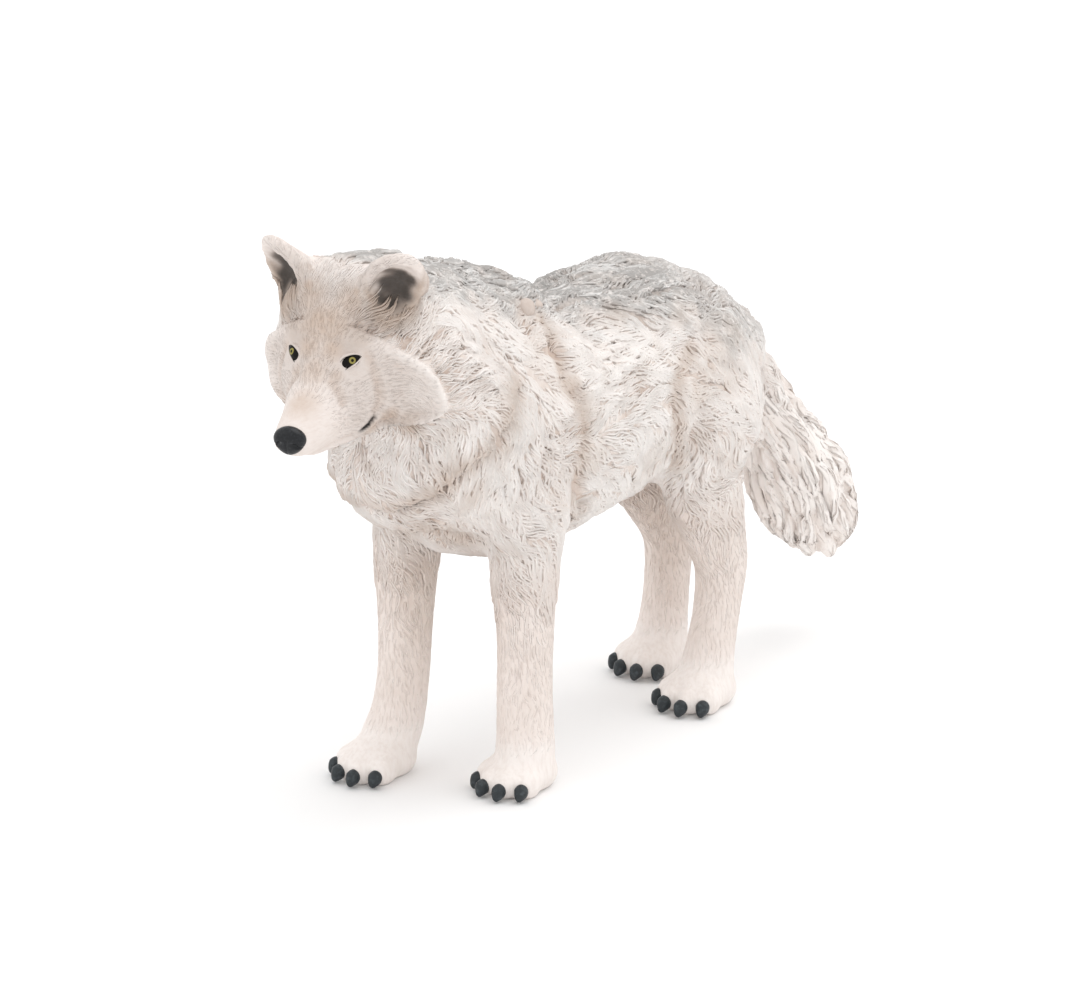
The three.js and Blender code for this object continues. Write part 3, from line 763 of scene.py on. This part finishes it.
def closedRing(profile, rim, sides):
    # a grid bent round into a ring, closed both ways; rim(angle, *profile row) places its vertices
    bm = bmesh.new()
    bmesh.ops.create_grid(bm, x_segments=sides, y_segments=len(profile), size=1)
    inked = bm.verts.layers.float.new("ink")
    for v in bm.verts:
        angle = (v.co.x + 1) * math.pi
        *spot, v[inked] = profile[round((v.co.y + 1) / 2 * len(profile)) % len(profile)]
        v.co = rim(angle, *spot)
    bmesh.ops.remove_doubles(bm, verts=bm.verts, dist=1e-4)
    bmesh.ops.recalc_face_normals(bm, faces=bm.faces)
    return bm


def makeLids(place):
    half = (Vector(eyes["outer"]) - Vector(eyes["inner"])).length / 2
    # [reach beyond the eye's rim, height over the face, share of black paint]
    profile = [(-0.04, -0.5, 1), (0.0, 0.0, 1), (0.04, 0.04, 0.7), (0.1, 0.05, 0), (0.19, 0.0, 0),
               (0.28, -0.12, 0), (0.4, -0.5, 0), (0.1, -0.8, 1)]

    def rim(angle, reach, height):
        # blunt at the inner corner, pointed at the outer one, flat below
        cos, sin = math.cos(angle), math.sin(angle)
        tall = eyes["tall"] * (1 - 0.3 * cos) if sin > 0 else -eyes["low"] * (1 - 0.6 * cos)
        y = tall * abs(sin) ** (0.45 + 1.1 * max(cos, 0)) - 0.18 * max(-cos, 0) ** 2 + reach * sin
        return Vector((cos * (half + reach * 0.6), y, height - 0.2 * cos * cos))
    return moved(closedRing(profile, rim, 72), place)


noseMake = dict(forward=10.3, up=-3.05, half=(1.7, 1.25, 1.48), tilt=-14)


def makeNose():
    bm = ball((1, 1, 1), sides=72, rings=56)
    wide, deep, high = noseMake["half"]
    for v in bm.verts:
        x, y, z = v.co
        taper = 1 + 0.16 * z - 0.12 * z * z  # wider above than below
        flat = 1 - 0.18 * max(-y, 0) ** 2 * (1 - x * x)
        nostril = math.hypot((abs(x) - 0.56) / 0.26, (z + 0.08 + 0.5 * (abs(x) - 0.56)) / 0.2)
        slit = math.hypot((abs(x) - 0.8) / 0.22, (z + 0.22) / 0.1)
        parting = 0.1 * math.exp(-(x / 0.05) ** 2) * (z < 0.3)
        dent = 0.34 * max(1 - nostril ** 2, 0) + 0.2 * max(1 - slit ** 2, 0) + parting
        out = 1 - (dent if y < 0 else 0)
        v.co = Vector((x * wide * taper, y * deep * flat * out, z * high))
    return moved(bm, headPlace @ turned(0, -noseMake["forward"], noseMake["up"], noseMake["tilt"]))


claw = dict(length=2.2, radius=0.86, deeper=1.15, ahead=0.22, droop=34, sunk=0.6, level=-0.2, taper=0.34,
            hook=0.3)


def makeClaws(paw):
    # blunt hooked cones, thick where they leave the toe
    bms = []
    for seat in toe["seats"]:
        place = toePlace(paw, seat) @ turned(0, -toe["half"][1] + claw["sunk"], claw["level"], claw["droop"])
        bm = ball((1, 1, 1), sides=28, rings=24)
        for v in bm.verts:
            x, y, z = v.co
            tip = max(-y, 0)
            thick = (1 - claw["taper"] * tip) * claw["radius"] * (1 - y * y) ** 0.36
            slim = thick / max(math.hypot(x, z), 1e-6)
            hooked = z * slim * claw["deeper"] - claw["hook"] * tip * tip
            v.co = Vector((x * slim, y * claw["length"] / 2, hooked))
        bms.append(moved(bm, place @ Matrix.Translation((0, -claw["length"] * claw["ahead"], 0))))
    whole = gather(bms)
    for v in whole.verts:
        v.co.z = max(v.co.z, 0.02)
    return whole


def mapToSkin(obj):
    # the map for baking of a small piece: one small patch where the piece sits on the skin
    at = places(obj.data)
    spot = at.mean(0)
    face = mesh.polygons[skinTree.find_nearest(spot / mm + (0, footToMiddle, 0))[2]]
    root = mesh.uv_layers["OFBake"].uv[face.loop_start].vector
    layer = obj.data.uv_layers.new(name="OFBake")
    for loop, uv in zip(obj.data.loops, layer.uv):
        off = at[loop.vertex_index] - spot  # a metre of the piece is one unit of the map
        uv.vector = (root[0] + off[0], root[1] + off[2])


def finishPiece(obj, material, slot, *nodes):
    # to metres in the shared frame, smooth, painted, and standing for its CAD nodes
    setPlaces(obj.data, toFrame(places(obj.data)))
    obj.data.polygons.foreach_set("use_smooth", [True] * len(obj.data.polygons))
    obj.data.materials.clear()
    obj.data.materials.append(material)
    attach(obj, "root")
    if nodes:
        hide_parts(*nodes)
    return obj


# Paint

def feed(tree, node, inputs):
    # a node's inputs as values or links
    for name, value in inputs.items():
        if isinstance(value, bpy.types.NodeSocket):
            tree.links.new(value, node.inputs[name])
        else:
            node.inputs[name].default_value = value
    return node


def put(tree, kind, inputs=None, **settings):
    node = tree.nodes.new(kind)
    for name, value in settings.items():
        setattr(node, name, value)
    return feed(tree, node, inputs or {})


def blendColors(tree, share, a, b):
    # inputs 6 and 7 and output 2 are the ones for colours
    return put(tree, "ShaderNodeMix", {"Factor": share, 6: a, 7: b}, data_type="RGBA").outputs[2]


def maths(tree, what, a, b=0.0, clamp=False):
    return put(tree, "ShaderNodeMath", {0: a, 1: b}, operation=what, use_clamp=clamp).outputs[0]


def spread(tree, value, low, high, bottom=0.0, top=1.0):
    # value stretched so that low becomes bottom and high becomes top
    limits = {"Value": value, "From Min": low, "From Max": high, "To Min": bottom, "To Max": top}
    return put(tree, "ShaderNodeMapRange", limits).outputs[0]


def noise(tree, where, size, detail=3, rough=0.55):
    # size in mm
    look = {"Vector": where, "Scale": 1 / size, "Detail": detail, "Roughness": rough}
    return put(tree, "ShaderNodeTexNoise", look).outputs[0]


def objectMm(tree, turn=(0, 0, 0), stretch=(1, 1, 1)):
    at = put(tree, "ShaderNodeTexCoord").outputs["Object"]
    how = {"Vector": at, "Rotation": turn, "Scale": [s / mm for s in stretch]}
    return put(tree, "ShaderNodeMapping", how).outputs[0]


def newGroup(name, inputs, outputs):
    tree = bpy.data.node_groups.new(name, "ShaderNodeTree")
    for label, kind, value in inputs:
        socket = tree.interface.new_socket(label, in_out="INPUT", socket_type=kind)
        socket.default_value = value
    for label, kind in outputs:
        tree.interface.new_socket(label, in_out="OUTPUT", socket_type=kind)
    return tree, tree.nodes.new("NodeGroupInput").outputs, tree.nodes.new("NodeGroupOutput")


paint = dict(
    coat=(0.85, 0.765, 0.72, 1), shade=(0.79, 0.70, 0.65, 1), pale=(0.92, 0.88, 0.85, 1),
    # the first colour on the next line is the painted shade of the face
    dusk=(0.58, 0.515, 0.475, 1), saddle=(0.43, 0.412, 0.397, 1), frost=(0.72, 0.71, 0.695, 1),
    # the second and third colours on the next line are the brown wash and painted shade of the recesses, and
    # their greyer kind under the saddle
    wash=(0.53, 0.405, 0.32, 1), recess=(0.56, 0.44, 0.37, 1), greyRecess=(0.33, 0.29, 0.265, 1),
    ink=(0.007, 0.006, 0.005, 1), slate=(0.028, 0.034, 0.038, 1), nose=(0.009, 0.010, 0.012, 1),
    iris=(0.30, 0.26, 0.08, 1),
)


paintMasks = ("Saddle", "Wash", "Pale", "Dusk", "Recess", "Tone", "Ink")


def paintGroup():
    # the coat's colours: pinkish white, paler flanks, silver saddle, beige wash, painted shade on the face,
    # and the brown wash and painted shade that make it darker in the recesses
    masks = [(label, "NodeSocketFloat", 0.0) for label in (*paintMasks, "Depth")]
    made = [("Color", "NodeSocketColor"), ("Roughness", "NodeSocketFloat")]
    tree, given, out = newGroup("coatPaint", masks, made)
    where = objectMm(tree)
    cloud = noise(tree, where, 6.0, 4)
    fleck = noise(tree, where, 0.7, 3, 0.6)
    base = blendColors(tree, spread(tree, cloud, 0.35, 0.7), paint["coat"], paint["shade"])
    whiter = maths(tree, "ADD", given["Pale"], maths(tree, "MULTIPLY", given["Tone"], 0.6), True)
    base = blendColors(tree, whiter, base, paint["pale"])
    # painted shade over the face and the top of the head
    base = blendColors(tree, given["Dusk"], base, paint["dusk"])
    grey = blendColors(tree, spread(tree, given["Tone"], 0.35, 0.95), paint["saddle"], paint["frost"])
    saddleShare = maths(tree, "MULTIPLY", given["Saddle"], spread(tree, fleck, 0.25, 0.5), True)
    base = blendColors(tree, saddleShare, base, grey)
    washShare = maths(tree, "MULTIPLY", given["Wash"], spread(tree, fleck, 0.2, 0.6, 0.6, 1.0), True)
    base = blendColors(tree, maths(tree, "MULTIPLY", washShare, 0.8), base, paint["wash"])
    greyer = maths(tree, "MULTIPLY", given["Saddle"], 0.85)
    # the brown wash and painted shade of the recesses, greyer under the saddle
    dark = blendColors(tree, greyer, paint["recess"], paint["greyRecess"])
    sunk = maths(tree, "MULTIPLY", maths(tree, "POWER", given["Recess"], 1.3), given["Depth"], True)
    base = blendColors(tree, sunk, base, dark)
    feed(tree, out, {"Color": blendColors(tree, given["Ink"], base, paint["ink"]),
                     "Roughness": spread(tree, fleck, 0, 1, 0.56, 0.76)})
    return tree


coatPaint = paintGroup()


def attribute(tree, name):
    return put(tree, "ShaderNodeAttribute", attribute_name=name).outputs["Fac"]


def newMaterial(name):
    material = bpy.data.materials.new(name)
    material.use_nodes = True
    tree = material.node_tree
    return material, tree, tree.nodes["Principled BSDF"]


def coatMaterial(name, depth, strokes):
    # depth: how strong the brown wash and painted shade of the recesses are; strokes: the height of
    # painted-over short hair, mm
    material, tree, shader = newMaterial(name)
    group = put(tree, "ShaderNodeGroup", node_tree=coatPaint)
    feed(tree, group, {label: attribute(tree, label.lower()) for label in paintMasks} | {"Depth": depth})
    feed(tree, shader, {"Base Color": group.outputs["Color"], "Roughness": group.outputs["Roughness"],
                        "Specular IOR Level": 0.3})
    if strokes:
        # short hair that lies flat: streaks down the legs, back along the head and along the tail
        down = noise(tree, objectMm(tree, stretch=(1, 1, 0.25)), 0.42, 3)
        headTurn = [-math.radians(head[a]) for a in ("pitch", "roll", "yaw")]
        back = noise(tree, objectMm(tree, turn=headTurn, stretch=(1, 0.25, 1)), 0.3, 2)
        tailTurn = (-math.radians(tailLine["lean"]), 0, 0)
        along = noise(tree, objectMm(tree, turn=tailTurn, stretch=(1, 1, 0.16)), 0.35, 2)
        streak = down
        for place, other in (("onHead", back), ("onTail", along)):
            mixed = {"Factor": attribute(tree, place), "A": streak, "B": other}
            streak = put(tree, "ShaderNodeMix", mixed).outputs[0]
        raised = put(tree, "ShaderNodeBump", {"Height": streak, "Strength": 0.5, "Distance": strokes * mm})
        # the streaks hold a little of the brown wash and painted shade of the recesses
        held = maths(tree, "ADD", attribute(tree, "recess"), spread(tree, streak, 0.36, 0.62, 0.32, 0.0))
        feed(tree, shader, {"Normal": raised.outputs[0]})
        feed(tree, group, {"Recess": held})
    return material


def plainPaint(name, color, rough, size):
    # one hand-brushed colour with a little unevenness
    material, tree, shader = newMaterial(name)
    fleck = noise(tree, objectMm(tree), size, 3)
    worn = [min(c * 2 + 0.008, 1) for c in color[:3]] + [1]
    uneven = put(tree, "ShaderNodeBump", {"Height": fleck, "Strength": 0.35, "Distance": 0.05 * mm})
    feed(tree, shader, {"Base Color": blendColors(tree, spread(tree, fleck, 0.5, 0.75), color, worn),
                        "Roughness": spread(tree, fleck, 0, 1, rough - 0.06, rough + 0.1),
                        "Specular IOR Level": 0.3, "Normal": uneven.outputs[0]})
    return material


def eyeMaterial():
    # black gloss with a ring of olive yellow round the pupil
    material, tree, shader = newMaterial("eyePaint")
    aside = attribute(tree, "aside")
    ring = maths(tree, "MULTIPLY", spread(tree, aside, gaze["iris"], gaze["iris"] - 0.06),
                 spread(tree, aside, gaze["pupil"], gaze["pupil"] + 0.06))
    feed(tree, shader, {"Base Color": blendColors(tree, ring, paint["ink"], paint["iris"]),
                        "Roughness": 0.3, "Specular IOR Level": 0.1})
    return material


skinPaint = coatMaterial("skinPaint", 0.75, 0.15)
lockPaint = coatMaterial("lockPaint", 0.62, 0)
hornPaint = plainPaint("clawPaint", paint["slate"], 0.42, 0.5)
nosePaint = plainPaint("nosePaint", paint["nose"], 0.3, 0.22)
eyePaint = eyeMaterial()


# Dressing the skin

def clearOfFeatures(points):
    # 0 on the eyes, nose, mouth and in the ears
    forward = headCoords(points)[1]
    lips = smoothStep(headLine(points, mouth["line"]), 0.4, 0.9)
    clear = smoothStep(eyeGap(points), 1.9, 2.4) * smoothStep(forward, 6.5, 4) * lips
    return clear * (1 - earHollow(points, 0, -0.3, 0))


def markSkin(obj):
    p = places(obj.data)
    zone = zonesOf(p)
    painted = markingsOf(p)
    hollow = hollowness(obj.data, 6)
    # the skin's brown wash and painted shade: darker in its hollows, under the locks and in the grooves
    # between lobes
    recess = 0.55 * smoothStep(hollow, 0.02, 0.14) * np.clip(1 - zone["furry"], 0, 1)
    recess = np.maximum(recess, (0.4 + 0.55 * groove) * zone["furry"] * (1 - zone["tail"]))
    recess = np.maximum(recess, 0.35 * groove * zone["tail"])
    uneven = 0.2 * ripple(p, 0.9, 61)
    # inside the ears' cups the paint turns darker, greyer and, towards the middle, black
    cups = earHollow(p, -0.5, -0.05 - uneven, 0.7 - uneven)
    core = earHollow(p, -1, 0.1 - uneven, 0.9 - uneven)
    corner = near(headLine(p, mouth["line"][-3:]), 0.42)
    values = dict(
        painted, saddle=np.maximum(painted["saddle"], 0.2 * cups), recess=np.maximum(recess, 0.8 * cups),
        tone=np.full(len(p), 0.3), ink=np.maximum(np.clip(corner * 2, 0, 1), 0.45 * cups ** 2 + 0.42 * core),
        onHead=zone["head"], onTail=zone["tail"])
    for name, value in values.items():
        setValue(obj.data, name, value)


def finishSmall(obj, **marked):
    # a small piece of the moulding with its own markings
    for label, value in marked.items():
        setValue(obj.data, label, value)
    finishPiece(obj, skinPaint, "coat")
    mapToSkin(obj)


# two small curls of hair behind the shoulder: place and half sizes of each
curl = dict(seats=[((6.0, 7.2, 52.3), (1.0, 1.3, 1.1)), ((5.6, 9.2, 52.0), (0.9, 1.0, 0.9))],
            turn=(25, 0, 20))
flesh = ["head", "jaw", "neck", "trunk", "tail_root", "tail_brush"]
for part in ("ear", "foreleg", "thigh", "shank", "forepaw", "hindpaw"):
    flesh += [part + "_left", part + "_right"]
markSkin(skin)
skinPlaces, skinNormals = places(mesh), normalsOf(mesh)
skinTree = surfaceTree(mesh)

for side, name in ((1, "left"), (-1, "right")):
    place = eyePlace(side)
    bm, aside = makeEyeball(place)
    eyeball = newObject("eyeball_" + name, bm)
    setValue(eyeball.data, "aside", aside)
    finishPiece(eyeball, eyePaint, "eyes", "eye_" + name)
    # the lids carry the face's painted shade
    finishSmall(newObject("lids_" + name, makeLids(place)), onHead=1.0, dusk=0.7)
finishPiece(newObject("noseLeather", makeNose()), nosePaint, "nose", "nose")
knobs = [ball(half, turned(*at, *curl["turn"]), 32, 24) for at, half in curl["seats"]]
# the curls carry some of the brown wash and painted shade of the recesses
finishSmall(newObject("shoulderCurls", gather(knobs)), wash=0.4, saddle=0.4, recess=0.35)
for name, paw in paws.items():
    horn = newObject(name + "_claws", makeClaws(paw))
    finishPiece(horn, hornPaint, "claws", *[f"{name}_claw_{i}" for i in (1, 2, 3, 4)])
finishPiece(skin, skinPaint, "coat", *flesh)
print("pieces placed")


# Locks

# spacing, half width, length, height and wave in mm
coatKinds = dict(
    trunk=dict(spacing=0.54, wide=0.22, long=(2.6, 5.2), high=0.3, sink=0.1, lift=0.06, wave=0.26,
               gather=0.55, shade=0.7, sides=3, rings=6, pieces=6),
    legs=dict(spacing=0.58, wide=0.17, long=(1.2, 2.4), high=0.11, sink=0.05, lift=0.01, wave=0.08,
              clump=1.5, gather=0.35, shade=0.4, sides=3, rings=6, pieces=2),
    head=dict(spacing=0.36, wide=0.12, long=(0.8, 1.6), high=0.08, sink=0.04, lift=0.01, wave=0.06,
              clump=1.1, gather=0.3, shade=0.55, sides=3, rings=6, pieces=2),
    tail=dict(spacing=1.35, wide=0.6, long=(7, 12), high=0.13, sink=0.1, lift=0.0, wave=0.14,
              gather=0.55, shade=0.32, sides=6, rings=12, pieces=1),
)


def sizeOf(points):
    # the coat is shorter and finer down the legs, on the face and just behind it
    zone = zonesOf(points)
    _, forward, up = headCoords(points)
    close = (1 - smoothStep(-pastEdge(forward, up), 0, 3)) * zone["head"] * smoothStep(up, 6, 3)
    size = 0.35 + 0.65 * smoothStep(points[:, 2], 6, 26)
    return size * (1 - 0.45 * zone["bare"]) * (1 - 0.35 * close * (1 - zone["bare"]))


def skinTriangles(obj):
    mesh = obj.data
    mesh.calc_loop_triangles()
    count = len(mesh.loop_triangles)
    corners, loops = np.empty(count * 3, np.int32), np.empty(count * 3, np.int32)
    mesh.loop_triangles.foreach_get("vertices", corners)
    mesh.loop_triangles.foreach_get("loops", loops)
    uvs = np.empty(len(mesh.loops) * 2, np.float32)
    mesh.uv_layers["OFBake"].uv.foreach_get("vector", uvs)
    return corners.reshape(-1, 3), uvs.reshape(-1, 2)[loops.reshape(-1, 3)]


def faceMeans(mesh, values):
    return np.array([values[list(f.vertices)].mean(0) for f in mesh.polygons])


def settle(points):
    # nearest places on the skin, the smooth normals there and how deep in a groove they lie
    spots, faces = np.empty_like(points), np.empty(len(points), int)
    for i, p in enumerate(points):
        spots[i], _, faces[i], _ = skinTree.find_nearest(p)
    return spots, faceNormals[faces], faceGrooves[faces]


def scatter(kind, cover, dice):
    # roots spread evenly over the skin where cover(points) lets them be, and their places on the map
    p = skinPlaces[corners]
    area = np.linalg.norm(np.cross(p[:, 1] - p[:, 0], p[:, 2] - p[:, 0]), axis=1) / 2
    share = area * cover(p.mean(1))
    wanted = int(share.sum() / kind["spacing"] ** 2 * 6)
    picked = dice.choice(len(p), wanted, p=share / share.sum())
    a, b = np.sqrt(dice.random(wanted)), dice.random(wanted)
    weights = np.stack([1 - a, a * (1 - b), a * b], 1)
    roots = (p[picked] * weights[:, :, None]).sum(1)
    cells = np.floor(roots / kind["spacing"]).astype(int)
    _, first = np.unique(cells, axis=0, return_index=True)
    first.sort()
    return roots[first], (cornerUvs[picked[first]] * weights[first][:, :, None]).sum(1)


def clumpsOf(roots, lie, kind, name):
    # the clump of each lock, and a point and a way on the clump's axis
    if name in lobes:
        clump = lobeAt(roots, lobes[name])[0]
        return clump, lobes[name]["at"][clump], lobes[name]["lie"][clump]
    bent = shaken(roots, 0.5, kind["clump"] * 1.6, (31, 32, 33))
    _, clump = np.unique(np.floor(bent / kind["clump"]).astype(int), axis=0, return_inverse=True)
    clump = clump.ravel()
    size = np.bincount(clump)
    centre = np.stack([np.bincount(clump, roots[:, i]) / size for i in range(3)], 1)
    return clump, centre[clump], lie


def growPaths(roots, kind, name, dice):
    # each lock follows the lie of the coat over the skin and leans in towards the axis of its clump
    steps = kind["rings"] + 1
    spot, out, sunk = settle(roots)
    lie = lieOf(spot, out)
    clump, centre, axis = clumpsOf(roots, lie, kind, name)
    count = clump.max() + 1
    phase, angle = dice.random(count) * 2 * math.pi, dice.normal(0, 0.2, count)
    long = dice.uniform(*kind["long"], len(roots)) * dice.uniform(0.8, 1.15, count)[clump]
    long = long * sizeOf(roots) ** 0.7
    ahead = ((roots - centre) * axis).sum(1) + long * 1.25
    tip = centre + axis * ahead[:, None]
    path, outs, grooves = [spot], [out], [sunk]
    for k in range(steps):
        t = k / steps
        lie = lieOf(spot, out)
        across = np.cross(out, lie)
        sway = angle[clump] + kind["wave"] * 2.4 * np.cos(phase[clump] + t * 5.5)
        way = lie * np.cos(sway)[:, None] + across * np.sin(sway)[:, None]
        way = unit(way * (1 - kind["gather"] * t) + unit(tip - spot) * kind["gather"] * t)
        spot, out, sunk = settle(spot + way * (long / steps)[:, None])
        path.append(spot)
        outs.append(out)
        grooves.append(sunk)
    return np.stack(path, 1), np.stack(outs, 1), np.stack(grooves, 1), clump


def template(sides, rings):
    # one lock, from root to tip, as a sphere's vertices: share of the length, angle round it, and its faces
    bm = bmesh.new()
    bmesh.ops.create_uvsphere(bm, u_segments=sides, v_segments=rings + 1, radius=1)
    bm.verts.index_update()
    t = np.array([1 - math.acos(max(-1, min(1, v.co.z))) / math.pi for v in bm.verts])
    angle = np.array([math.atan2(v.co.y, v.co.x) + math.pi / 2 for v in bm.verts])
    faces = [[v.index for v in f.verts] for f in bm.faces]
    bm.free()
    return t, angle, faces


def makeLocks(name, cover, seed):
    dice = np.random.default_rng(seed)
    kind = coatKinds[name]
    roots, uv = scatter(kind, cover, dice)
    path, outs, grooves, clump = growPaths(roots, kind, name, dice)
    count, steps = path.shape[:2]
    t, angle, faces = template(kind["sides"], kind["rings"])
    low = np.minimum((t * (steps - 1)).astype(int), steps - 2)
    part = t * (steps - 1) - low

    def along(rows):
        # values at the steps of each path, read at the template's vertices
        share = part[None, :, None] if rows.ndim == 3 else part[None, :]
        return rows[:, low] * (1 - share) + rows[:, low + 1] * share
    centre = along(path)
    up = unit(along(outs))
    across = np.cross(up, unit(path[:, low + 1] - path[:, low]))
    swell = np.clip(1 - (2 * t ** 0.8 - 1) ** 2, 0, 1) ** 0.55
    scale = dice.uniform(0.75, 1.15, count) * sizeOf(roots)
    rough = near(lineDistance(roots, crest["line"])[0], crest["reach"]) * crest["more"]
    tall = scale * dice.uniform(0.7, 1.25, clump.max() + 1)[clump] * (1 + rough)
    flank = np.cos(angle) * swell * kind["wide"]
    ridge = (np.sin(angle) + 0.5) / 1.5
    rise = ridge * swell * kind["high"] + kind["lift"] * t ** 1.5 - kind["sink"] * (1 - 0.6 * t)
    rise = rise[None] * tall[:, None] + rough[:, None] * 0.6 * t ** 2
    points = centre + across * (flank * scale[:, None])[:, :, None] + up * rise[:, :, None]
    # the brown wash and painted shade of each lock: darker down its flanks and at its root, and in the
    # grooves between lobes
    recess = np.clip(1.1 - ridge * 1.15, 0, 1) * (1 - 0.3 * t) + 0.2 * np.clip(1 - t * 4, 0, 1)
    recess = np.clip(recess[None] + 0.5 * along(grooves), 0, 1) * kind["shade"]
    tone = np.clip(dice.normal(0.5, 0.22, count) + dice.normal(0, 0.12, clump.max() + 1)[clump], 0, 1)
    painted = markingsOf(centre.reshape(-1, 3))
    order = np.argsort(roots @ (0.1, 1, -0.2))
    patch = np.stack([(t - 0.5) * 0.003, np.cos(angle) * 0.0012], 1)
    corner = np.array([v for f in faces for v in f])
    sizes = np.array([len(f) for f in faces])
    made = []
    for i, rows in enumerate(np.array_split(order, kind["pieces"])):
        mesh = bpy.data.meshes.new(name)
        shift = (np.arange(len(rows)) * len(t))[:, None]
        loops = (corner[None] + shift).ravel()
        starts = np.concatenate([[0], np.cumsum(np.tile(sizes, len(rows)))[:-1]])
        mesh.vertices.add(len(rows) * len(t))
        mesh.loops.add(len(loops))
        mesh.polygons.add(len(rows) * len(faces))
        mesh.vertices.foreach_set("co", points[rows].ravel())
        mesh.loops.foreach_set("vertex_index", loops)
        mesh.polygons.foreach_set("loop_start", starts)
        onMap = uv[rows][:, None, :] + patch[corner][None]
        mesh.uv_layers.new(name="OFBake").uv.foreach_set("vector", onMap.ravel().astype(np.float32))
        mesh.update(calc_edges=True)
        obj = bpy.data.objects.new(f"{name}Coat_{i + 1}", mesh)
        wolf.objects.link(obj)
        for label, values in painted.items():
            setValue(mesh, label, values.reshape(count, -1)[rows].ravel())
        setValue(mesh, "recess", recess[rows].ravel())
        setValue(mesh, "tone", np.repeat(tone[rows], len(t)))
        finishPiece(obj, lockPaint, "coat")
        made.append(sum(len(f) - 2 for f in faces) * len(rows))
    print(name, "locks", count, "triangles", made)


def trunkCover(points):
    zone = zonesOf(points)
    return zone["furry"] * (1 - zone["tail"]) * clearOfFeatures(points)


def legCover(points):
    zone = zonesOf(points)
    return zone["legs"] * (1 - zone["paws"])


def headCover(points):
    zone = zonesOf(points)
    return np.maximum(zone["crown"], zone["bare"]) * clearOfFeatures(points)


def tailCover(points):
    return zonesOf(points)["tail"]


corners, cornerUvs = skinTriangles(skin)
faceNormals = unit(faceMeans(mesh, skinNormals))
faceGrooves = faceMeans(mesh, groove)
makeLocks("trunk", trunkCover, 101)
makeLocks("legs", legCover, 102)
makeLocks("head", headCover, 103)
makeLocks("tail", tailCover, 104)


# Floor, light and camera

studio = dict(
    floor=0.93, sky=1.04,
    # place, width and power of each lamp
    lamps=dict(key=((0.15, 0.3, 0.95), 0.9, 3.1), front=((-0.3, -0.8, 0.7), 0.9, 0.7)),
)


def makeFloor():
    bm = bmesh.new()
    bmesh.ops.create_grid(bm, x_segments=1, y_segments=1, size=3)
    floor = newObject("floor", bm)
    material, _, shader = newMaterial("floorPaper")
    shader.inputs["Base Color"].default_value = [studio["floor"]] * 3 + [1]
    shader.inputs["Roughness"].default_value = 0.9
    floor.data.materials.append(material)


def areaLight(name, at, size, power, toward=(0, 0, 0.03)):
    lamp = bpy.data.lights.new(name, "AREA")
    lamp.shape = "DISK"
    lamp.size = size
    lamp.energy = power
    obj = bpy.data.objects.new(name, lamp)
    obj.location = at
    obj.rotation_euler = (Vector(toward) - Vector(at)).to_track_quat("-Z", "Y").to_euler()
    bpy.context.scene.collection.objects.link(obj)


makeFloor()
for name, (at, size, power) in studio["lamps"].items():
    areaLight(name, at, size, power)
sky = bpy.data.worlds.new("paleStudio")
sky.use_nodes = True
sky.node_tree.nodes["Background"].inputs["Color"].default_value = (1, 1, 1, 1)
sky.node_tree.nodes["Background"].inputs["Strength"].default_value = studio["sky"]
bpy.context.scene.world = sky
bpy.context.scene.view_settings.view_transform = "Standard"

view = dict(azimuth=40, elevation=17, away=0.430, lens=133.3, aim=(2.44, 13.82, 29.51))


def makeCamera():
    a, e = math.radians(view["azimuth"]), math.radians(view["elevation"])
    back = Vector((math.sin(a) * math.cos(e), -math.cos(a) * math.cos(e), math.sin(e)))
    data = bpy.data.cameras.new("camera")
    data.lens = view["lens"]
    data.sensor_width = 36
    data.clip_start = 0.02
    camera = bpy.data.objects.new("camera", data)
    camera.location = Vector(toFrame(view["aim"])) + back * view["away"]
    camera.rotation_euler = back.to_track_quat("Z", "Y").to_euler()
    bpy.context.scene.collection.objects.link(camera)
    bpy.context.scene.camera = camera


makeCamera()
